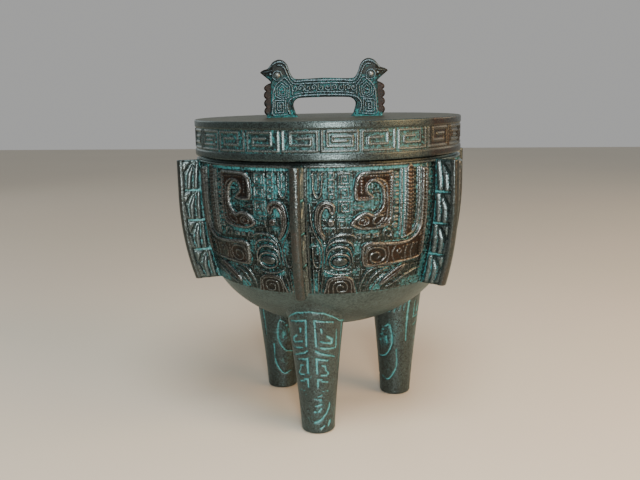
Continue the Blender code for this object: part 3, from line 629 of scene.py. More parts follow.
def draw_leg():
    """One side of a leg, from its outward line to its inward line."""
    sheet = Drawing(-3, 76, -1, 112)
    for line in LEG_LINES:
        sheet.carve(swollen(line, LEG_LINE_SWELL), LEG_LINE_DEPTH, LEG_LINE_GREEN)
    for line in LEG_BACK_LINES:
        back = [(x + LEG_BACK_START, z, width) for x, z, width in swollen(line, LEG_LINE_SWELL)]
        sheet.carve(smooth_line(back), LEG_LINE_DEPTH, LEG_LINE_GREEN)
    for spot in LEG_SPIRALS:
        sheet.carve(square_spiral(*spot, LEG_SPIRAL_PITCH, LEG_SPIRAL_LINE), LEG_LINE_DEPTH)
    sheet.finish(LEG_PATCHES)
    return sheet


FLANGE_CUT = 0.4
# Verdigris in the slots between the cells, and in the one at the rim
SLOT_GREEN = 1.2
TOP_SLOT_GREEN = 0.6


def draw_flange():
    """A flange's face: way out from the wall, and height. Each cell holds slanted petals."""
    sheet = Drawing(-4, 24, BAND_BOTTOM_Z - 1, RIM_Z + 1)
    cell = (RIM_Z - BAND_BOTTOM_Z) / FLANGE_CELLS
    for k in range(FLANGE_CELLS):
        low = BAND_BOTTOM_Z + k * cell + FLANGE_CELL_INSET
        high = BAND_BOTTOM_Z + (k + 1) * cell - FLANGE_CELL_INSET
        middle = (low + high) / 2
        sheet.ridge([(4.4, low + 0.8, 2.8), (3.6, middle, 3.6), (2.6, high - 1.0, 3.0)], 1.5)
        sheet.ridge([(9.6, low + 0.9, 3.4), (8.6, middle, 3.8), (6.2, high - 3.4, 1.6)], 1.5)
        corner = [(7.4, high - 0.4), (13.4, high - 0.4), (13.6, high - 8.0)]
        leaf = [(11.6, low + 0.3), (15.6, low + 0.3), (15.4, high - 9.4), (13.4, middle)]
        sheet.plate(np.array(corner), 1.2, 1.0)
        sheet.plate(np.array(leaf), 0.9, 0.9)
        slot_green = SLOT_GREEN if k < FLANGE_CELLS - 1 else TOP_SLOT_GREEN
        for stations, green in (
            (((6.3, low + 2.4, 1.0), (6.4, middle - 1, 1.5), (4.6, high - 2.6, 0.8)), 0.7),
            (((9.2, high - 2.6, 1.0), (11.3, middle, 1.5), (12.4, low + 3.0, 0.8)), 0.55),
            (((-1, high + 1.2, 2.4), (8, high + 1.2, 2.1), (13.4, high + 1.4, 1.1)), slot_green),
        ):
            sheet.carve(stations, FLANGE_CUT, green)
    sheet.finish()
    return sheet


# The raised line of a cell of the lid's fret, from its left divider
NESTED_FRET = (
    (1.5, 232.0), (1.5, 218.7), (25.9, 218.7), (25.9, 231.8), (5.0, 231.8), (5.0, 222.1),
    (22.4, 222.1), (22.4, 228.4), (8.5, 228.4), (8.5, 225.3), (18.6, 225.3),
)
PLAIN_FRET = (
    (25.7, 232.0), (25.7, 218.8), (1.8, 218.8), (1.8, 231.6), (20.4, 231.6), (20.4, 222.9),
    (6.2, 222.9), (6.2, 227.3), (15.8, 227.3),
)
# Verdigris on the lid's band: middle, half width, half height and strength
LID_PATCHES = (
    (648.0, 22.6, 9.0, 2.6, 0.95), (656.0, 21.0, 7.0, 1.6, 0.8), (4.0, 22.4, 8.0, 1.6, 0.8),
    (46.0, 24.0, 12.0, 1.6, 0.8), (598.0, 6.0, 26.0, 0.9, 0.9), (627.0, 13.0, 2.4, 9.0, 0.9),
    (640.0, 6.2, 12.0, 1.2, 0.6), (22.0, 7.0, 1.4, 4.0, 0.9), (66.0, 13.0, 2.2, 7.0, 0.7),
)


def draw_lid_band():
    """The lid's band round its whole way: two lips and a fret of square spirals between."""
    girth = 2 * math.pi * LID_RADIUS
    cell = girth / FRET_CELLS
    sheet = Drawing(0, girth, 0, LID_HEIGHT)
    for k in range(FRET_CELLS):
        kind = FRET_KINDS[k % len(FRET_KINDS)]
        line = NESTED_FRET if kind == "nested" else PLAIN_FRET
        if kind == "mirrored":
            line = [(cell - x, z) for x, z in line]
        line = [(x + k * cell, z - LID_BOTTOM_Z, FRET_LINE) for x, z in line]
        sheet.band(line, FRET_HEIGHT, FRET_ROUNDING)
    for middle, width in (
        (LID_HEIGHT - LID_UPPER_LIP / 2, LID_UPPER_LIP), (LID_LOWER_LIP / 2, LID_LOWER_LIP),
    ):
        sheet.band([(-2, middle, width), (girth + 2, middle, width)], FRET_RECESS, LIP_ROUNDING)
    sheet.finish(LID_PATCHES)
    return sheet


# The right half of the handle's outline, in shares of its half length and of its height
HANDLE_HALF = (
    (0.000, 0.676), (0.400, 0.660), (0.490, 0.692), (0.540, 0.790), (0.572, 0.900), (0.620, 0.970),
    (0.696, 1.000), (0.784, 0.966), (0.842, 0.895), (0.885, 0.846), (0.946, 0.826), (1.000, 0.787),
    (0.966, 0.747), (0.852, 0.638), (0.836, 0.560), (0.850, 0.100), (0.878, 0.000), (0.446, 0.000),
    (0.462, 0.070), (0.490, 0.180), (0.490, 0.246), (0.450, 0.305), (0.360, 0.334), (0.000, 0.343),
)
# In the same shares: where a beak starts and its underside, an eye's middle, the heights
# between which a crest runs, and its outer edge. A beak thins out by BEAK_THIN to its tip.
BEAK_START = 0.80
BEAK_UNDERSIDE = 0.62
BEAK_THIN = 0.60
BIRDS_EYE = (0.728, 0.722)
CREST_SPAN = (0.04, 0.60)
CREST_REACH = 0.915

# Lines on the handle's right half, in millimetres from its middle and from the lid
HANDLE_RIDGES = (
    ((0, 28.3, 1.1), (14, 28.2, 1.1), (20, 27.6, 1.1), (23.4, 28.0, 1.1), (25.6, 30.6, 1.1),
        (27.0, 34.0, 1.1), (28.6, 38.0, 1.1), (30.6, 41.2, 1.1), (33.6, 42.7, 1.1),
        (37.0, 42.4, 1.1), (40.4, 40.6, 1.0), (43.6, 37.6, 0.8)),
    ((0, 26.2, 1.1), (14, 26.0, 1.1), (20.6, 25.5, 1.1), (24.6, 26.4, 1.1), (27.4, 29.6, 1.1),
        (28.9, 33.0, 1.1), (30.6, 37.2, 1.1), (33.0, 40.0, 1.0), (36.4, 40.2, 0.9)),
    ((25.2, 17.4, 1.0), (25.4, 23.4, 1.1), (28.0, 27.4, 1.1), (31.0, 30.4, 1.1), (34.2, 28.6, 1.1),
        (37.4, 25.4, 1.1), (39.6, 21.6, 1.1), (40.5, 17.0, 1.1), (40.6, 9.0, 1.1), (40.6, 2.0, 1.1),
        (29.6, 2.0, 1.1)),
    ((0, 19.2, 1.0), (10, 19.1, 1.0), (18, 18.6, 1.0), (23.2, 17.6, 1.0)),
    ((0, 17.0, 1.2), (14, 16.8, 1.2), (22, 16.0, 1.2), (26.4, 14.2, 1.2), (28.8, 11.0, 1.2),
        (29.0, 7.0, 1.2), (27.4, 2.4, 1.2)),
)
HANDLE_LINE_HEIGHT = 0.8
# The shield on a bird's breast: middle, half width and half height of each ring
HANDLE_RINGS = ((33.2, 21.4, 5.8, 7.3), (33.2, 21.0, 4.0, 5.4), (33.2, 20.7, 2.2, 3.5))
SHIELD = ((0, 1), (1, 0.35), (0.9, -0.7), (0.15, -1), (-0.85, -0.85), (-1, 0.35), (0, 1))
SHIELD_BAR = ((32.0, 21.0, 1.0), (34.2, 20.2, 1.0))
FOOT_SPIRAL = (34.9, 8.3, 9.4, 10.6, 1.85, 1.0)
# Small hooks along the bar, each the other way up than the one before
HANDLE_HOOKS = (2.7, 8.0, 13.3, 18.6, 23.2)
HOOKS_Z = 22.7
HOOKS_SLOPE = 0.02
HOOK_LINE = (
    (-2.0, -2.3), (-2.0, 1.4), (0.0, 2.4), (1.7, 1.0), (1.4, -0.9), (-0.1, -1.0), (-0.2, 0.4),
)
EYE_RING_RADIUS = 3.6
BEAK_LINE = ((41.0, 36.2, 1.0), (44.0, 35.6, 1.2), (48.0, 35.2, 0.6))
NOSTRIL = (42.4, 33.6, 1.1, 0.7)


def draw_handle():
    """The right half of the handle's face. The left half mirrors it."""
    sheet = Drawing(-1, HANDLE_LENGTH / 2 + 2, -3, HANDLE_HEIGHT + 2)
    for line in HANDLE_RIDGES:
        sheet.ridge(smooth_line(line), HANDLE_LINE_HEIGHT)
    for x, y, half_width, half_height in HANDLE_RINGS:
        sheet.ridge([(x + a * half_width, y + b * half_height, 0.9) for a, b in SHIELD], 0.7)
    sheet.ridge(SHIELD_BAR, 0.7)
    sheet.ridge(square_spiral(*FOOT_SPIRAL), HANDLE_LINE_HEIGHT)
    for k, x in enumerate(HANDLE_HOOKS):
        flip = 1 if k % 2 else -1
        middle = HOOKS_Z - x * HOOKS_SLOPE
        hook = [(x + flip * a, middle + flip * b, 0.95) for a, b in HOOK_LINE]
        sheet.ridge(hook, HANDLE_LINE_HEIGHT)
    x, z = BIRDS_EYE[0] * HANDLE_LENGTH / 2, BIRDS_EYE[1] * HANDLE_HEIGHT
    ring = EYE_RING_RADIUS
    turns = np.linspace(0, 2 * math.pi, 25)
    sheet.ridge([(x + ring * math.cos(t), z + ring * math.sin(t), 0.9) for t in turns], 0.6)
    sheet.ridge(BEAK_LINE, 0.4)
    sheet.bead(*NOSTRIL)
    sheet.finish()
    return sheet


def ellipse_radius(widest, upright_z, depth, z):
    """Radius at height z of a form that is upright at one height and draws in below it."""
    drop = np.maximum(upright_z - z, 0)
    return widest * np.sqrt(np.maximum(1 - (drop / depth) ** 2, 0))


def wall_radius(z):
    return ellipse_radius(WALL_RADIUS, WALL_UPRIGHT_Z, WALL_CURVE_DEPTH, z)


def flange_radius(z):
    return ellipse_radius(WALL_RADIUS + FLANGE_REACH, FLANGE_UPRIGHT_Z, FLANGE_CURVE_DEPTH, z)


BOWL_DEPTH = BOWL_WIDEST_Z - BOWL_BOTTOM_Z
BOWL_START = math.asin((BOWL_WIDEST_Z - BAND_BOTTOM_Z) / BOWL_DEPTH)
BOWL_RADIUS = (wall_radius(BAND_BOTTOM_Z) - BAND_STEP) / math.cos(BOWL_START)


def bowl_radius(z):
    """Radius of the plain underside at height z."""
    return BOWL_RADIUS * np.sqrt(np.maximum(1 - ((BOWL_WIDEST_Z - z) / BOWL_DEPTH) ** 2, 0))


def steps(*runs):
    """Positions that run through several stretches, each with its own spacing."""
    found = [np.array([runs[0][0]])]
    for start, end, spacing in runs:
        count = max(1, round(abs(end - start) / spacing))
        found.append(np.linspace(start, end, count + 1)[1:])
    return np.concatenate(found)


def full_turn(columns):
    return np.arange(columns) * 2 * math.pi / columns


def around(angle, radius, z):
    """Points from an angle round the vessel, a radius and a height."""
    angle, radius, z = np.broadcast_arrays(angle, radius, z)
    return np.stack([radius * np.sin(angle), -radius * np.cos(angle), z], axis=-1)


def turned(x, y, turn):
    """Points turned about the vertical axis."""
    return x * math.cos(turn) - y * math.sin(turn), x * math.sin(turn) + y * math.cos(turn)


def patina_fields(green, wear_and_highlight, warm, below=0, above=0):
    """The three fields of a grid, with its end rows repeated for the folded-in edges."""
    return {
        key: np.vstack([field[:1]] * below + [field] + [field[-1:]] * above)
        for key, field in (("green", green), ("wear_and_highlight", wear_and_highlight), ("warm", warm))
    }


def make_piece(name, points, faces, fields, material, node):
    """A smooth mesh with its patina fields, riding on the root and standing for a node."""
    mesh = bpy.data.meshes.new(name)
    mesh.from_pydata((points * MM).tolist(), [], faces)
    mesh.polygons.foreach_set("use_smooth", [True] * len(mesh.polygons))
    for key, values in fields.items():
        attribute = mesh.attributes.new(key, "FLOAT", "POINT")
        attribute.data.foreach_set("value", np.asarray(values, np.float32).ravel())
    mesh.materials.append(material)
    piece = bpy.data.objects.new(name, mesh)
    bpy.context.scene.collection.objects.link(piece)
    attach(piece, "root")
    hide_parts(node)


def grid_faces(rows, columns, closed):
    """Faces of a grid of points, row by row, that face outwards where rows run up."""
    index = np.arange(rows * columns).reshape(rows, columns)
    if closed:
        index = np.hstack([index, index[:, :1]])
    quads = np.stack([index[:-1, :-1], index[:-1, 1:], index[1:, 1:], index[1:, :-1]], axis=-1)
    return quads.reshape(-1, 4).tolist()


def grid_piece(name, points, fields, material, node, closed=False):
    faces = grid_faces(*points.shape[:2], closed)
    make_piece(name, points.reshape(-1, 3), faces, fields, material, node)


def turned_piece(name, profile, columns, green, warm, material, node):
    """A turned surface whose profile runs up the outer side. An end at radius 0 is closed."""
    rows = np.array(profile, float)
    start = 1 if rows[0][0] == 0 else 0
    end = len(rows) - 1 if rows[-1][0] == 0 else len(rows)
    points = around(full_turn(columns), rows[start:end, 0][:, None], rows[start:end, 1][:, None])
    points = points.reshape(-1, 3)
    faces = grid_faces(end - start, columns, True)
    for row, tip, turn in ((0, rows[0], -1), (end - start - 1, rows[-1], 1)):
        if tip[0] == 0:
            pole = len(points)
            points = np.vstack([points, [(0, 0, tip[1])]])
            ring = [row * columns + i for i in range(columns)]
            faces += [(a, b, pole)[::turn] for a, b in zip(ring, ring[1:] + ring[:1])]
    flat = np.zeros(len(points))
    fields = patina_fields(green(points), flat, flat + warm)
    make_piece(name, points, faces, fields, material, node)


def band_heights(z):
    """The heights of a piece of the band's rows, with two rows closing each end."""
    return np.concatenate([[BAND_BOTTOM_Z] * 2, z, [RIM_Z] * 2])[:, None]


# Spacing of a mask's columns, finest on its large forms, and of its rows
MASK_COLUMNS = ((0, 7, 0.6), (7, 42, 0.4), (42, SHEET_WIDTH, 0.56))
MASK_ROW = 0.5
# How brown a mask's plates are in its middle, how much more at its sides, and over which way
MASK_WARM = 0.7
MASK_WARM_RISE = 0.3
MASK_WARM_REACH = 60


def make_masks(material):
    sheet = draw_mask()
    half = steps(*MASK_COLUMNS)
    across = np.concatenate([-half[:0:-1], half])
    up = steps((EDGE_INSET, SHEET_HEIGHT - EDGE_INSET, MASK_ROW))
    x, y = np.meshgrid(np.abs(across), up)
    rise, green, wear_and_highlight = sheet.at(x, y)
    sideways = MASK_WARM + MASK_WARM_RISE * smooth_step(x / MASK_WARM_REACH)
    fields = patina_fields(green, wear_and_highlight, sheet.sample(sheet.warm, x, y) * sideways, 2, 2)
    z = BAND_BOTTOM_Z + up * (RIM_Z - BAND_BOTTOM_Z) / SHEET_HEIGHT
    radius = wall_radius(z)[:, None] + rise
    level = np.ones_like(radius[:1])
    radii = np.vstack([
        level * (wall_radius(BAND_BOTTOM_Z) - PANEL_TUCK), radius[:1] - EDGE_INSET, radius,
        radius[-1:] - EDGE_INSET, level * (WALL_RADIUS - COLLAR_STEP - EDGE_INSET),
    ])
    for k, turn in enumerate(full_turn(LEG_COUNT), 1):
        points = around(turn + across / SHEET_WIDTH * math.pi / LEG_COUNT, radii, band_heights(z))
        grid_piece(f"mask_panel_{k}", points, fields, material, "vessel")


def leg_radius(z):
    return LEG_FOOT_RADIUS + (LEG_TOP_RADIUS - LEG_FOOT_RADIUS) * (z / LEG_TOP_Z) ** LEG_SWELL


def leg_place(angle, radius, z):
    """A point of the front leg, from the way round its own middle line."""
    y = -LEG_CIRCLE - LEG_LEAN * z / LEG_TOP_Z
    return radius * np.sin(angle), y - radius * np.cos(angle)


def leg_tops(angles):
    """The height at which each line up the leg meets the bowl."""
    heights = np.linspace(BOWL_BOTTOM_Z, LEG_REACH_Z, 600)[:, None]
    x, y = leg_place(angles, leg_radius(heights), heights)
    inside = np.hypot(x, y) < bowl_radius(np.minimum(heights, BAND_BOTTOM_Z))
    return heights[np.argmax(inside, axis=0), 0]


def leg_distance(points):
    """How far points of the bowl lie outside the nearest leg."""
    z = points[:, 2]
    middle = LEG_CIRCLE + LEG_LEAN * z / LEG_TOP_Z
    nearest = np.full(len(points), np.inf)
    for turn in full_turn(LEG_COUNT):
        x, y = turned(points[:, 0], points[:, 1], -turn)
        away = np.hypot(x, y + middle) - leg_radius(np.minimum(z, LEG_REACH_Z))
        nearest = np.minimum(nearest, away)
    return nearest


# Spacing of a leg's columns, by the angle from its outward line, and the number of its rows
LEG_COLUMNS = ((0, 1.45, 0.03), (1.45, 2.5, 0.05), (2.5, math.pi, 0.12))
LEG_ROWS = 148
# Width of the flat ring round the middle of the foot's sole
LEG_SOLE = 6
# The pattern ends softly at the seam, and is fainter low on the leg's left side.
LEG_PATTERN_FADE = 2
LEG_FAINT_FADE = 6
LEG_FAINTNESS = 0.7
LEG_GREEN = 0.22
LEG_SEAM_GREEN = 1.2
LEG_WEAR = 0.15
LEG_WARM = 0.12


def make_legs(material):
    sheet = draw_leg()
    half = steps(*LEG_COLUMNS)
    angles = np.concatenate([-half[:0:-1], half[:-1]])
    junction = leg_tops(angles)
    z = LEG_EDGE + (junction + LEG_SINK - LEG_EDGE) * steps((0, 1, 1 / LEG_ROWS))[:, None]
    radius = leg_radius(z)
    way = np.abs(angles) * radius
    seam = np.minimum(np.interp(way, *zip(*LEG_SEAM)), junction - LEG_SEAM_DROP)
    fillet = LEG_FILLET_BEND * np.maximum(z - junction + LEG_FILLET_REACH, 0) ** 2
    near_seam = smooth_step(1 - np.abs(z - seam) / LEG_SEAM_WIDTH)
    outward_left = (angles < 0) * (way < LEG_BACK_START / 2)
    faint = smooth_step((LEG_FAINT_Z - z) / LEG_FAINT_FADE) * outward_left
    shown = (1 - smooth_step((z - seam) / LEG_PATTERN_FADE)) * (1 - LEG_FAINTNESS * faint)
    rise = sheet.sample(sheet.height, way, z) * shown
    green = np.maximum(sheet.sample(sheet.green, way, z) * shown, LEG_SEAM_GREEN * near_seam)
    green = np.maximum(green, LEG_GREEN)
    radius = radius + rise + fillet - LEG_SEAM_DEPTH * near_seam
    low = leg_radius(0)
    rings = ((low - LEG_EDGE - LEG_SOLE, 0.0), (low - LEG_EDGE, 0.0), (low - 0.5, LEG_EDGE * 0.4))
    flat = np.zeros_like(z)
    fields = patina_fields(green, flat + LEG_WEAR, flat + LEG_WARM, below=len(rings))
    radius = np.vstack([flat[:1] + ring_radius for ring_radius, level in rings] + [radius])
    z = np.vstack([flat[:1] + level for ring_radius, level in rings] + [z])
    x, y = leg_place(angles, radius, z)
    faces = grid_faces(*z.shape, True)
    faces.append(list(range(len(angles)))[::-1])
    for k, turn in enumerate(full_turn(LEG_COUNT), 1):
        points = np.stack([*turned(x, y, turn), z], -1).reshape(-1, 3)
        make_piece(f"leg_{k}", points, faces, fields, material, "vessel")


FLANGE_ROW = 0.75
FLANGE_COLUMNS = 26
FLANGE_NOSE_TURNS = 13
FLANGE_RISE = 0.3
# The rows that close each end: how far they draw back, and their share of the thickness
FLANGE_ENDS = ((0.3, 0), (0.15, 0.9))
FLANGE_BORDER_EDGE = 0.9
# Verdigris gathers within this way of the wall, and thins out from this way outwards.
FLANGE_WALL_GREEN = 0.85
FLANGE_WALL_REACH = 4.2
FLANGE_THIN_FROM = 12.0
FLANGE_THIN = 0.5
FLANGE_FADE = 4.0
# How worn and how brown the petals, the border and the nose are. The petals' worn tops also carry
# painted glints.
PETAL_WEAR_AND_GLINT = 0.6
PETAL_WARM = 0.15
BORDER_WEAR = 0.15
BORDER_WARM = 0.3
NOSE_WEAR = 0.05
NOSE_WARM = 0.7


def make_flanges(material):
    sheet = draw_flange()
    half_thickness = FLANGE_THICKNESS / 2
    z = steps((BAND_BOTTOM_Z + FLANGE_END, RIM_Z - FLANGE_END, FLANGE_ROW))
    reach = (flange_radius(z) - wall_radius(z))[:, None]
    share = steps((0, 1, 1 / FLANGE_COLUMNS))
    way = (reach + FLANGE_SINK - FLANGE_NOSE) * share - FLANGE_SINK
    border = rounded(way - (reach - FLANGE_BORDER), FLANGE_BORDER_EDGE)
    petals, green, wear_and_highlight = sheet.at(way, np.broadcast_to(z[:, None], way.shape))
    rise = np.maximum(petals, border * FLANGE_GROUND)
    face = half_thickness - FLANGE_GROUND + np.minimum(rise, FLANGE_GROUND + FLANGE_RISE)
    fade = 1 - FLANGE_THIN * smooth_step((way - FLANGE_THIN_FROM) / FLANGE_FADE)
    at_wall = FLANGE_WALL_GREEN * smooth_step((FLANGE_WALL_REACH - way) / FLANGE_FADE)
    green = np.maximum(green * fade * (1 - border), at_wall)
    wear_and_highlight = np.maximum(PETAL_WEAR_AND_GLINT * wear_and_highlight, border * BORDER_WEAR)
    warm = PETAL_WARM + BORDER_WARM * border
    turn = np.linspace(0, math.pi, FLANGE_NOSE_TURNS)[1:-1]
    nose = reach - FLANGE_NOSE + FLANGE_NOSE * np.sin(turn)
    none = np.zeros_like(nose)

    def all_round(field, on_nose):
        return np.hstack([field, none + on_nose, field[:, ::-1]])

    fields = patina_fields(
        all_round(green, 0), all_round(wear_and_highlight, NOSE_WEAR), all_round(warm, NOSE_WARM), 2, 2
    )
    radius = wall_radius(z)[:, None] + all_round(way, nose)
    side = np.hstack([face, none + np.cos(turn) * half_thickness, -face[:, ::-1]])
    back, thin = np.array(FLANGE_ENDS).T[:, :, None]
    radius = np.vstack([radius[:1] - back, radius, radius[-1:] - back[::-1]])
    side = np.vstack([side[:1] * thin, side, side[-1:] * thin[::-1]])
    heights = np.broadcast_to(band_heights(z), side.shape)
    for k, turn in enumerate(full_turn(FLANGE_COUNT), 1):
        points = np.stack([*turned(-side, -radius, turn), heights], -1)
        grid_piece(f"flange_{k}", points, fields, material, "vessel")


def inset_line(line, distance):
    """A profile moved inwards by a distance, square to its own course."""
    line = np.array(line, float)
    run = np.gradient(line, axis=0)
    run /= np.hypot(run[:, 0], run[:, 1])[:, None]
    return line + distance * np.stack([-run[:, 1], run[:, 0]], axis=-1)


def evenly(amount):
    """A patina field with the same value all over."""
    return lambda points: np.full(len(points), amount)


BOWL_ROWS = 46
BOWL_COLUMNS = 180
WALL_ROWS = 24
INSIDE_COLUMNS = 120
# Verdigris on the bowl's underside: within a way of the legs, and above a height
BOWL_GREEN = 0.7
BOWL_GREEN_REACH = 2.0
BOWL_GREEN_Z = 114.5
BOWL_GREEN_FADES = (1.8, 2.2)
# Verdigris and brownness of the inner surfaces
INSIDE_GREEN = 0.2
INSIDE_WARM = 0.2


def bowl_green(points):
    leg_fade, band_fade = BOWL_GREEN_FADES
    near_leg = smooth_step((BOWL_GREEN_REACH - leg_distance(points)) / leg_fade)
    near_band = smooth_step((points[:, 2] - BOWL_GREEN_Z) / band_fade)
    return BOWL_GREEN * np.maximum(near_leg, near_band)


def make_bowl_and_inside(material, painted_shade_bronze):
    turns = np.linspace(math.pi / 2, BOWL_START, BOWL_ROWS)
    outer = [(BOWL_RADIUS * math.cos(t), BOWL_WIDEST_Z - BOWL_DEPTH * math.sin(t)) for t in turns]
    outer[0] = (0, BOWL_BOTTOM_Z)
    turned_piece("bowl_underside", outer, BOWL_COLUMNS, bowl_green, 0.0, material, "vessel")
    wall = [(float(wall_radius(z)), z) for z in np.linspace(BAND_BOTTOM_Z, RIM_Z, WALL_ROWS)]
    under = [(r * wall_radius(BAND_BOTTOM_Z) / outer[-1][0], z) for r, z in outer[:-1]]
    inside = inset_line(under + wall, WALL_THICKNESS)
    inside[0] = (0, BOWL_BOTTOM_Z + WALL_THICKNESS)
    top = RIM_Z + COLLAR_HEIGHT
    collar = WALL_RADIUS - COLLAR_STEP
    rim = [
        (collar, RIM_Z - EDGE_INSET), (collar, top - EDGE_INSET), (collar - EDGE_INSET, top),
        (MOUTH_RADIUS + EDGE_INSET, top), (MOUTH_RADIUS, top - EDGE_INSET),
    ]
    profile = rim + [tuple(point) for point in inside[::-1]]
    # The inside and the collar take the darker relief bronze as painted shade for the gap under the
    # lid.
    turned_piece("bowl_inside", profile, INSIDE_COLUMNS, evenly(0.0), INSIDE_WARM, painted_shade_bronze, "vessel")


LID_COLUMNS = 960
LID_ROW = 0.52
LID_TOP_COLUMNS = 240
LID_INSIDE_COLUMNS = 200
# Rows of the lid's top, from its edge to its middle, closer where the handle stands
LID_TOP_ROWS = ((LID_RADIUS - LID_TOP_EDGE, 52, 6), (52, 20, 1.6), (20, 0, 5))
LID_INSET = 0.3
LID_BAND_GREEN = 0.85
LID_GROUND_GREEN = 0.6
LID_GROUND_TOP = 0.55
FRET_MARGIN = 0.6
# The fret's worn lines and the lips are lightened, partly as painted highlight and sheen.
LID_BAND_WEAR_AND_HIGHLIGHT = 0.7
LIP_WEAR_AND_SHEEN = 0.08
LID_WARM = 0.08
# How much browner, less green and less worn the warm-lit stretch is made, as painted warm light
LID_WARM_LIT_PAINT = 0.85
SKIRT_RADIUS = MOUTH_RADIUS - SKIRT_CLEARANCE


def make_lid_band(material):
    sheet = draw_lid_band()
    angles = full_turn(LID_COLUMNS)
    up = steps((EDGE_INSET, LID_HEIGHT - LID_TOP_EDGE, LID_ROW))
    x, y = np.meshgrid(angles * LID_RADIUS, up)
    rise, green, wear_and_highlight = sheet.at(x, y)
    ground = smooth_step(1 - rise / LID_GROUND_TOP)
    green = np.maximum(green * LID_BAND_GREEN, LID_GROUND_GREEN * ground)
    # Painted warm light: the stretch facing the warm side light turns browner, with less verdigris
    # and fewer worn tops.
    start, end = LID_WARM_LIT_SPAN
    brown = smooth_step((x - start) / LID_WARM_LIT_FADE) * smooth_step((end - x) / LID_WARM_LIT_FADE)
    above = y > LID_LOWER_LIP + FRET_MARGIN
    in_fret = above & (y < LID_HEIGHT - LID_UPPER_LIP - FRET_MARGIN)
    wear_and_highlight = np.where(in_fret, wear_and_highlight * LID_BAND_WEAR_AND_HIGHLIGHT, LIP_WEAR_AND_SHEEN)
    turns = np.linspace(0, math.pi / 2, 6)[1:]
    edge_radius = LID_RADIUS - LID_TOP_EDGE * (1 - np.cos(turns))
    edge_level = LID_HEIGHT - LID_TOP_EDGE * (1 - np.sin(turns))
    fields = patina_fields(
        green * (1 - LID_WARM_LIT_PAINT * brown), wear_and_highlight * (1 - LID_WARM_LIT_PAINT * brown),
        LID_WARM + LID_WARM_LIT_PAINT * brown, 2, len(turns),
    )
    radius = LID_RADIUS - FRET_RECESS + rise
    wide = np.ones((1, LID_COLUMNS))
    radii = np.vstack([
        wide * SKIRT_RADIUS, radius[:1] - EDGE_INSET, radius, edge_radius[:, None] * wide,
    ])
    level = np.concatenate([[0, 0], up, edge_level])
    points = around(LID_TURN + FRET_TURN + angles, radii, LID_BOTTOM_Z + level[:, None])
    grid_piece("lid_band", points, fields, material, "lid", closed=True)


# Verdigris on the lid round the handle's feet: strength, reach and fade
TOP_GREEN = (0.9, 2.6, 2.2)


def top_green(points):
    strength, reach, fade = TOP_GREEN
    x, y = turned(points[:, 0], points[:, 1], -LID_TURN)
    along = np.maximum(np.abs(np.abs(x + HANDLE_OFFSET) - FOOT_MIDDLE) - FOOT_HALF, 0)
    across = np.maximum(np.abs(y) - HANDLE_THICKNESS / 2, 0)
    return strength * smooth_step((reach - np.hypot(along, across)) / fade)


def make_lid_top_and_inside(material, plain):
    top = [(r, LID_TOP_Z) for r in steps(*LID_TOP_ROWS)]
    turned_piece("lid_top", top, LID_TOP_COLUMNS, top_green, 0.0, material, "lid")
    under = LID_TOP_Z - LID_PLATE
    ledge = LID_BOTTOM_Z + LID_LEDGE
    foot = LID_BOTTOM_Z - SKIRT_DEPTH
    inner = LID_RADIUS - LID_WALL
    skirt = SKIRT_RADIUS - SKIRT_THICKNESS
    profile = [
        (0, under), (40, under), (inner - 1, under), (inner, under - 1),
        (inner, ledge + LID_INSET), (inner - LID_INSET, ledge),
        (skirt + LID_INSET, ledge), (skirt, ledge - LID_INSET),
        (skirt, foot + EDGE_INSET), (skirt + EDGE_INSET, foot),
        (SKIRT_RADIUS - EDGE_INSET, foot), (SKIRT_RADIUS, foot + EDGE_INSET),
        (SKIRT_RADIUS, LID_BOTTOM_Z),
    ]
    green = evenly(INSIDE_GREEN)
    turned_piece("lid_inside", profile, LID_INSIDE_COLUMNS, green, INSIDE_WARM, plain, "lid")


def snapped_plate(outline, spacing):
    """A grid of square cells that fills an outline, with its border points on the outline."""
    low, high = outline.min(axis=0), outline.max(axis=0)
    xs = np.arange(low[0] - spacing, high[0] + 2 * spacing, spacing)
    ys = np.arange(low[1] - spacing, high[1] + 2 * spacing, spacing)
    middles = np.meshgrid(xs[:-1] + spacing / 2, ys[:-1] + spacing / 2)
    filled = outline_depth(*middles, outline).ravel() > spacing * 0.08
    corners = np.array(grid_faces(len(ys), len(xs), False))
    used, quads = np.unique(corners[filled], return_inverse=True)
    quads = quads.reshape(-1, 4)
    points = np.stack(np.meshgrid(xs, ys), -1).reshape(-1, 2)[used]
    edges = np.vstack([quads[:, [k, (k + 1) % 4]] for k in range(4)]).tolist()
    known = set(map(tuple, edges))
    border = [edge for edge in edges if (edge[1], edge[0]) not in known]
    rim = np.unique(border)
    best = np.full(len(rim), np.inf)
    nearest = points[rim].copy()
    for (x0, y0), (x1, y1) in zip(outline, np.roll(outline, -1, axis=0)):
        share, away = nearest_on(*points[rim].T, x0, y0, x1 - x0, y1 - y0)
        closer = away < best
        best[closer] = away[closer]
        spot = np.column_stack([x0 + share * (x1 - x0), y0 + share * (y1 - y0)])
        nearest[closer] = spot[closer]
    points[rim] = nearest
    return points, quads, border, rim


def placed_on_lid(points):
    """Points of the handle, upright on the lid and turned with it."""
    x, y = turned(points[:, 0] - HANDLE_OFFSET, points[:, 1], LID_TURN)
    return np.column_stack([x, y, points[:, 2] + LID_TOP_Z])


# Shares of the half thickness at which points run round a standing plate's rim
RIM_LEVELS = (0.5, 0.0, -0.5)
RIM_GREEN = 0.4
RIM_WEAR = 0.2
RIM_WARM = 0.2


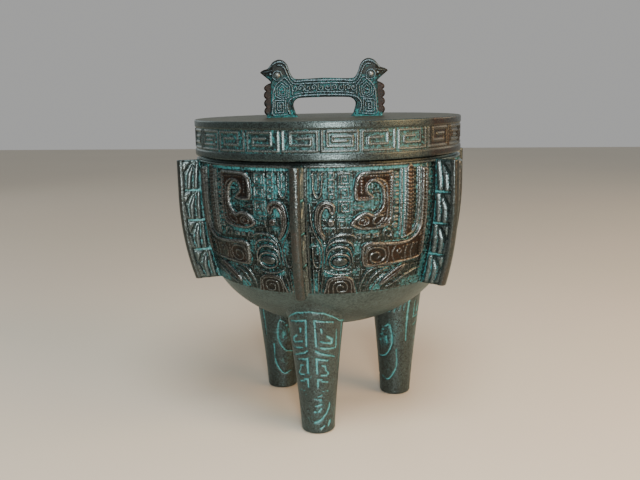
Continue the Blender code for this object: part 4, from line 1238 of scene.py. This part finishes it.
def standing_plate(name, outline, spacing, half_thickness, edge, face, material):
    """An upright plate on the lid, the same on both faces, with rounded edges."""
    outline = np.array(outline, float)
    points, quads, border, rim = snapped_plate(outline, spacing)
    x, z = points.T
    depth = np.maximum(outline_depth(x, z, outline), 0)
    depth[rim] = 0
    rise, green, wear_and_highlight, warm = face(points)
    out = half_thickness(x, z) - edge * (1 - rounded(depth, edge))
    out += rise * smooth_step(depth / (2 * edge))
    rows = [np.column_stack([x, -out, z]), np.column_stack([x, out, z])]
    rows += [np.column_stack([x[rim], -out[rim] * level, z[rim]]) for level in RIM_LEVELS]
    count = len(points)
    faces = quads.tolist() + (quads[:, ::-1] + count).tolist()
    # Each border point and the points behind it, from the front face to the back face
    rings = {
        v: [v] + [2 * count + k * len(rim) + i for k in range(len(RIM_LEVELS))] + [v + count]
        for i, v in enumerate(rim.tolist())
    }
    for a, b in border:
        one, other = rings[b], rings[a]
        faces += [list(quad) for quad in zip(one, other, other[1:], one[1:])]
    side = np.ones(len(rim) * len(RIM_LEVELS))
    fields = patina_fields(
        np.concatenate([green, green, np.tile(green[rim] * RIM_GREEN, len(RIM_LEVELS))]),
        np.concatenate([wear_and_highlight, wear_and_highlight, side * RIM_WEAR]),
        np.concatenate([warm, warm, side * RIM_WARM]),
    )
    make_piece(name, placed_on_lid(np.vstack(rows)), faces, fields, material, "lid")


def crest_outline():
    """A scalloped strip down the outer side of a bird, from its breast to the lid."""
    low, high = (share * HANDLE_HEIGHT for share in CREST_SPAN)
    edge = CREST_REACH * HANDLE_LENGTH / 2
    heights = np.linspace(low, high, 12 * CREST_TEETH + 1)
    waves = np.abs(np.sin((heights - low) / (high - low) * CREST_TEETH * math.pi)) ** 0.6
    inwards, drop = CREST_SLOPE
    slope = inwards * np.clip((heights - high) / drop + 1, 0, 1) ** 2
    line = list(zip(edge + CREST_TOOTH * waves - slope, heights))
    inner = edge - CREST_WIDTH
    return [(inner, -HANDLE_SINK), (edge, -HANDLE_SINK)] + line + [(inner, high)]


# Verdigris at the handle's feet: strength, height and fade
FOOT_GREEN = (0.8, 5.0, 4.5)
CREST_GREEN = 0.1
CREST_WARM = 0.7


def foot_green(z):
    strength, height, fade = FOOT_GREEN
    return strength * smooth_step((height - z) / fade)


def crest_thickness(x, z):
    return np.full(len(x), CREST_THICKNESS / 2)


def crest_face(points):
    """Rise, verdigris, wear and brown of a crest's face."""
    flat = np.zeros(len(points))
    return flat, CREST_GREEN + foot_green(points[:, 1]), flat, flat + CREST_WARM


def handle_thickness(x, z):
    """Half the thickness of the handle, which thins out along the beaks."""
    along = np.clip((np.abs(x) / (HANDLE_LENGTH / 2) - BEAK_START) / (1 - BEAK_START), 0, 1)
    above = z > BEAK_UNDERSIDE * HANDLE_HEIGHT
    return HANDLE_THICKNESS / 2 * (1 - BEAK_THIN * along * above)


HANDLE_SPACING = 0.35
HANDLE_GROUND = 0.5
HANDLE_GREEN = 0.85
# The handle's raised lines are lightened strongly as worn tops, partly as painted highlight.
HANDLE_WEAR_AND_HIGHLIGHT = 1.7
# Where the birds' heads start, and how much less green their lines and their ground are
HEAD_Z = 31.0
HEAD_FADE = 3.0
HEAD_LINES_LESS = 0.8
HEAD_GROUND_LESS = 0.6
HEAD_WARM = 0.3
# Verdigris on the handle's ground all over, and how much it grows below a height
HANDLE_GROUND_GREEN = 0.60
HANDLE_GROUND_TOP = 0.8
HANDLE_LOW_GREEN = 0.75
HANDLE_LOW_Z = 13.0
HANDLE_LOW_FADE = 9.0
CREST_SPACING = 0.5


def make_handle(material, eye_material):
    # Shares become millimetres, and the points at the lid are carried down into its plate.
    half = [
        (x * HANDLE_LENGTH / 2, z * HANDLE_HEIGHT if z else -HANDLE_SINK, 0)
        for x, z in HANDLE_HALF
    ]
    smooth = smooth_line(half, parts=4)[:, :2]
    keep = [point for point in smooth.tolist() if point[0] >= 0]
    outline = keep + [(-x, z) for x, z in keep[::-1] if x > 0]
    sheet = draw_handle()

    def face(points):
        x, z = np.abs(points[:, 0]), points[:, 1]
        rise, green, wear_and_highlight = sheet.at(x, z)
        head = smooth_step((z - HEAD_Z) / HEAD_FADE)
        ground = smooth_step(HANDLE_GROUND_TOP - rise)
        green = green * (1 - HEAD_LINES_LESS * head) * HANDLE_GREEN
        for more in (
            HANDLE_LOW_GREEN * smooth_step((HANDLE_LOW_Z - z) / HANDLE_LOW_FADE) * ground,
            foot_green(z), HANDLE_GROUND_GREEN * ground * (1 - HEAD_GROUND_LESS * head),
        ):
            green = np.maximum(green, more)
        return rise - HANDLE_GROUND, green, HANDLE_WEAR_AND_HIGHLIGHT * wear_and_highlight, HEAD_WARM * head

    standing_plate("handle", outline, HANDLE_SPACING, handle_thickness, HANDLE_EDGE, face, material)
    for side, word in ((1, "right"), (-1, "left")):
        line = [(side * x, z) for x, z in crest_outline()][::side]
        name = f"handle_crest_{word}"
        standing_plate(name, line, CREST_SPACING, crest_thickness, CREST_EDGE, crest_face, material)
        for way, face_word in ((-1, "front"), (1, "back")):
            make_eye(f"bird_eye_{word}_{face_word}", side, way, eye_material)


# The eyes count as more than fully worn, which paints a light highlight on each.
EYE_WEAR_AND_HIGHLIGHT = 1.2


def make_eye(name, side, way, material):
    """A ball set into a bird's head, on the right or left half and the front or back face."""
    x, z = side * BIRDS_EYE[0] * HANDLE_LENGTH / 2, BIRDS_EYE[1] * HANDLE_HEIGHT
    middle = HANDLE_THICKNESS / 2 + EYE_PROUD - EYE_RADIUS
    angles = full_turn(EYE_COLUMNS)
    turns = np.linspace(0.1, math.pi / 2, 9)[:-1]
    rows = []
    for t in turns:
        radius, out = EYE_RADIUS * math.cos(t), middle + EYE_RADIUS * math.sin(t)
        along, up = x + radius * np.cos(angles), z + radius * np.sin(angles)
        rows.append(np.column_stack([along, np.full(EYE_COLUMNS, way * out), up]))
    points = np.vstack(rows + [[(x, way * (middle + EYE_RADIUS), z)]])
    faces = grid_faces(len(turns), EYE_COLUMNS, True)
    last = (len(turns) - 1) * EYE_COLUMNS
    faces += [(last + i, last + (i + 1) % EYE_COLUMNS, len(points) - 1) for i in range(EYE_COLUMNS)]
    if way > 0:
        faces = [face[::-1] for face in faces]
    flat = np.zeros(len(points))
    fields = patina_fields(flat, flat + EYE_WEAR_AND_HIGHLIGHT, flat)
    make_piece(name, placed_on_lid(points), faces, fields, material, "lid")


class Shader:
    """Builds a node material step by step."""

    def __init__(self, name):
        self.material = bpy.data.materials.new(name)
        self.material.use_nodes = True
        self.nodes = self.material.node_tree.nodes
        self.links = self.material.node_tree.links
        self.surface = self.nodes["Principled BSDF"].inputs
        self.place = self.nodes.new("ShaderNodeTexCoord").outputs["Object"]

    def put(self, sockets, **values):
        """Links or sets sockets by name, with spaces for underscores and colours made whole."""
        for name, value in values.items():
            socket = sockets[name.replace("_", " ")]
            if isinstance(value, bpy.types.NodeSocket):
                self.links.new(value, socket)
            elif isinstance(value, tuple):
                socket.default_value = (*value, 1)
            else:
                socket.default_value = value

    def field(self, name):
        node = self.nodes.new("ShaderNodeAttribute")
        node.attribute_name = name
        return node.outputs["Fac"]

    def noise(self, scale, detail):
        node = self.nodes.new("ShaderNodeTexNoise")
        self.put(node.inputs, Vector=self.place, Scale=scale, Detail=detail, Roughness=0.6)
        return node.outputs["Fac"]

    def math(self, operation, a, b):
        node = self.nodes.new("ShaderNodeMath")
        node.operation = operation
        for socket, value in zip(node.inputs, (a, b)):
            self.links.new(value, socket)
        return node.outputs[0]

    def add(self, a, b):
        return self.math("ADD", a, b)

    def spread(self, value, low, high, to_low=0.0, to_high=1.0):
        """The value carried from one range to another, held at the ends."""
        node = self.nodes.new("ShaderNodeMapRange")
        self.put(
            node.inputs, Value=value, From_Min=low, From_Max=high, To_Min=to_low, To_Max=to_high
        )
        return node.outputs["Result"]

    def swing(self, noise, reach, low=0.3, high=0.7):
        """A noise made to swing by the reach to both sides of nought."""
        return self.spread(noise, low, high, -reach, reach)

    def blend(self, share, a, b):
        node = self.nodes.new("ShaderNodeMix")
        node.data_type = "RGBA"
        self.put(node.inputs, Factor=share, A=a, B=b)
        return node.outputs["Result"]

    def bump(self, height, strength, distance, **after):
        node = self.nodes.new("ShaderNodeBump")
        self.put(node.inputs, Strength=strength, Distance=distance, Height=height, **after)
        return node.outputs["Normal"]


DARK_BRONZE = (0.004, 0.005, 0.005)
GREY_FILM = (0.017, 0.031, 0.029)
PALE_FILM = (0.030, 0.051, 0.049)
OLIVE_FILM = (0.050, 0.072, 0.068)
BROWN_FILM = (0.056, 0.050, 0.030)
DARK_BROWN = (0.007, 0.004, 0.0025)
LIGHT_BROWN = (0.026, 0.0095, 0.0052)
# The worn colours lighten raised tops: partly real rubbing, partly painted highlight where light
# glances off the ridges.
WORN_AND_HIGHLIT_BRONZE = (0.190, 0.210, 0.205)
COOL_WORN_HIGHLIGHT = (0.100, 0.150, 0.170)
DEEP_GREEN = (0.004, 0.030, 0.033)
BRIGHT_GREEN = (0.017, 0.180, 0.190)
# Past full green the verdigris turns paler: partly real light verdigris, partly painted highlight
# on the legs' lines, seams and slots.
PALE_GREEN_AND_HIGHLIGHT = (0.160, 0.360, 0.360)
SPECULAR_TINT = (0.77, 1.0, 1.0)
# Roughness of verdigris, and the polish of what is worn, as a share of the bronze's own
GREEN_ROUGHNESS = 0.65
WORN_SHARE = 0.7
# Film colour and its share, roughness, lumps, gloss, metal, and the colour of worn tops, which also
# paints highlights, of each surface
BRONZES = {
    "relief": (GREY_FILM, 0.22, 0.22, 0.20, 0.55, 0.68, WORN_AND_HIGHLIT_BRONZE),
    "leg": (PALE_FILM, 0.48, 0.34, 0.45, 0.60, 0.45, WORN_AND_HIGHLIT_BRONZE),
    "flange": (PALE_FILM, 0.55, 0.21, 0.30, 0.70, 0.45, WORN_AND_HIGHLIT_BRONZE),
    "plain": (OLIVE_FILM, 0.62, 0.40, 0.35, 0.50, 0.35, WORN_AND_HIGHLIT_BRONZE),
    "top": (BROWN_FILM, 0.60, 0.42, 0.15, 0.45, 0.35, WORN_AND_HIGHLIT_BRONZE),
    "lid": (GREY_FILM, 0.42, 0.29, 0.15, 0.56, 0.35, WORN_AND_HIGHLIT_BRONZE),
    "handle": (GREY_FILM, 0.05, 0.50, 0.06, 0.20, 0.50, COOL_WORN_HIGHLIGHT),
}


def patina(name, film, film_share, shine, lumps, gloss, metal, worn_and_highlight_colour):
    """Cast bronze under a thin grey film, brown where handled, with verdigris in its hollows, and
    lighter on worn tops, partly as painted highlight.
    """
    make = Shader(name)
    grain, mottle, cloud = make.noise(1500.0, 2.0), make.noise(560.0, 3.0), make.noise(45.0, 3.0)
    filmed = make.add(make.swing(mottle, 0.4, 0.32, 0.68), make.swing(cloud, 0.2))
    filmed = make.add(filmed, make.swing(grain, 0.3))
    covering = make.spread(filmed, -0.5, 0.5, film_share - 0.5, film_share + 0.5)
    cool = make.blend(covering, DARK_BRONZE, film)
    brown = make.blend(make.spread(filmed, -0.4, 0.6), DARK_BROWN, LIGHT_BROWN)
    patchy = make.spread(make.add(mottle, cloud), 0.75, 1.2, 0.4, 1.2)
    bare = make.blend(make.math("MULTIPLY", make.field("warm"), patchy), cool, brown)
    # Worn tops, broken into specks by the grain, turn towards the worn colour: real rubbing with
    # painted highlights and glints.
    speckled = make.spread(grain, 0.42, 0.66, 0.1, 0.9)
    wear_and_highlight = make.math("MULTIPLY", make.field("wear_and_highlight"), speckled)
    bare = make.blend(wear_and_highlight, bare, worn_and_highlight_colour)
    drift = make.add(make.swing(mottle, 0.28), make.swing(cloud, 0.2))
    drift = make.add(drift, make.swing(grain, 0.2))
    green = make.field("green")
    covered = make.spread(make.add(green, drift), 0.45, 1.05)
    bright = make.spread(grain, 0.3, 0.7, -0.1, 0.4)
    bright = make.add(bright, make.spread(mottle, 0.35, 0.7, -0.1, 0.4))
    bright = make.add(bright, make.spread(green, 0.5, 1.2, 0.0, 0.6))
    verdigris = make.blend(bright, DEEP_GREEN, BRIGHT_GREEN)
    # Past full green the verdigris turns paler, partly as painted highlight.
    pale_and_highlight = make.spread(make.add(green, make.swing(grain, 0.3)), 0.95, 1.6)
    verdigris = make.blend(pale_and_highlight, verdigris, PALE_GREEN_AND_HIGHLIGHT)
    rough = make.spread(wear_and_highlight, 0.0, 0.6, shine, WORN_SHARE * shine)
    rough = make.add(rough, make.spread(covered, 0.0, 1.0, 0.0, GREEN_ROUGHNESS - shine))
    make.put(
        make.surface,
        Base_Color=make.blend(covered, bare, verdigris),
        Roughness=make.add(rough, make.swing(grain, 0.1)),
        Metallic=make.spread(covered, 0.0, 0.8, metal, 0.0),
        Specular_IOR_Level=gloss,
        Specular_Tint=SPECULAR_TINT,
        Normal=make.bump(mottle, lumps, 0.0008, Normal=make.bump(grain, 0.22, 0.0004)),
    )
    return make.material


def stage_material(name, colour, roughness):
    """An even colour, hardly darker in places."""
    make = Shader(name)
    tone = make.spread(make.noise(3.0, 2.0), 0.3, 0.7)
    low = tuple(0.97 * channel for channel in colour)
    make.put(make.surface, Base_Color=make.blend(tone, low, colour), Roughness=roughness)
    return make.material


CAMERA_PLACE = (0.1175, -0.6070, 0.2566)
CAMERA_YAW = math.radians(11.17)
CAMERA_SWING = math.radians(-0.508)
CAMERA_PITCH = math.radians(-10.815)
CAMERA_ROLL = math.radians(1.120)
LENS_MM = 43.01
SENSOR_MM = 36.0


def make_camera():
    """The camera of the photograph, as found from the lid, the flanges and the feet."""
    swing, pitch, roll = CAMERA_SWING, CAMERA_PITCH, CAMERA_ROLL
    level = math.cos(pitch)
    forward = Vector((math.sin(swing) * level, math.cos(swing) * level, math.sin(pitch)))
    right = Vector((math.cos(swing), -math.sin(swing), 0))
    up = right.cross(forward)
    across = right * math.cos(roll) - up * math.sin(roll)
    upright = right * math.sin(roll) + up * math.cos(roll)
    turn = Matrix.Rotation(CAMERA_YAW, 3, "Z")
    axes = Matrix([turn @ across, turn @ upright, turn @ -forward]).transposed()
    data = bpy.data.cameras.new("camera")
    data.lens = LENS_MM
    data.sensor_width = SENSOR_MM
    camera = bpy.data.objects.new("camera", data)
    camera.matrix_world = Matrix.Translation(CAMERA_PLACE) @ axes.to_4x4()
    bpy.context.scene.collection.objects.link(camera)
    bpy.context.scene.camera = camera


LIT_POINT = (0, 0, 0.15)
# Place, size, power and colour of each soft light
LIGHTS = {
    "front": ((0.22, -0.84, 0.28), 0.20, 8.5, (1.0, 0.99, 0.98)),
    "above": ((0.15, -0.45, 1.05), 0.50, 11.0, (0.95, 0.98, 1.0)),
    "warm_side": ((0.95, -0.30, 0.55), 0.80, 15.0, (1.0, 0.58, 0.27)),
    "behind_right": ((1.25, 0.95, 0.80), 0.90, 5.5, (1.0, 0.74, 0.50)),
    "behind_left": ((-1.35, 1.00, 0.80), 0.90, 2.0, (1.0, 0.98, 0.96)),
}


def make_light(name, place, size, power, colour):
    data = bpy.data.lights.new(name, "AREA")
    data.shape = "DISK"
    data.size = size
    data.energy = power
    data.color = colour
    light = bpy.data.objects.new(name, data)
    light.location = place
    light.rotation_mode = "QUATERNION"
    light.rotation_quaternion = (Vector(LIT_POINT) - Vector(place)).to_track_quat("-Z", "Y")
    bpy.context.scene.collection.objects.link(light)


FLOOR_HALF = 3.0
FLOOR_COLOUR = (0.55, 0.50, 0.40)
FLOOR_ROUGHNESS = 0.45
SKY_COLOUR = (0.87, 0.87, 0.86, 1)
SKY_STRENGTH = 0.46


def make_stage():
    mesh = bpy.data.meshes.new("floor")
    half = FLOOR_HALF
    corners = [(-half, -half, 0), (half, -half, 0), (half, half, 0), (-half, half, 0)]
    mesh.from_pydata(corners, [], [(0, 1, 2, 3)])
    mesh.materials.append(stage_material("pale_floor", FLOOR_COLOUR, FLOOR_ROUGHNESS))
    floor = bpy.data.objects.new("floor", mesh)
    bpy.context.scene.collection.objects.link(floor)
    world = bpy.data.worlds.new("studio")
    world.use_nodes = True
    sky = world.node_tree.nodes["Background"].inputs
    sky["Color"].default_value = SKY_COLOUR
    sky["Strength"].default_value = SKY_STRENGTH
    bpy.context.scene.world = world
    for name, settings in LIGHTS.items():
        make_light(name, *settings)


make_camera()
make_stage()
bronze = {name: patina(f"{name}_bronze", *values) for name, values in BRONZES.items()}
make_masks(bronze["relief"])
make_flanges(bronze["flange"])
make_legs(bronze["leg"])
# The relief bronze also goes on the inside and the collar, as painted shade.
make_bowl_and_inside(bronze["plain"], bronze["relief"])
make_lid_band(bronze["lid"])
make_lid_top_and_inside(bronze["top"], bronze["plain"])
make_handle(bronze["handle"], bronze["lid"])
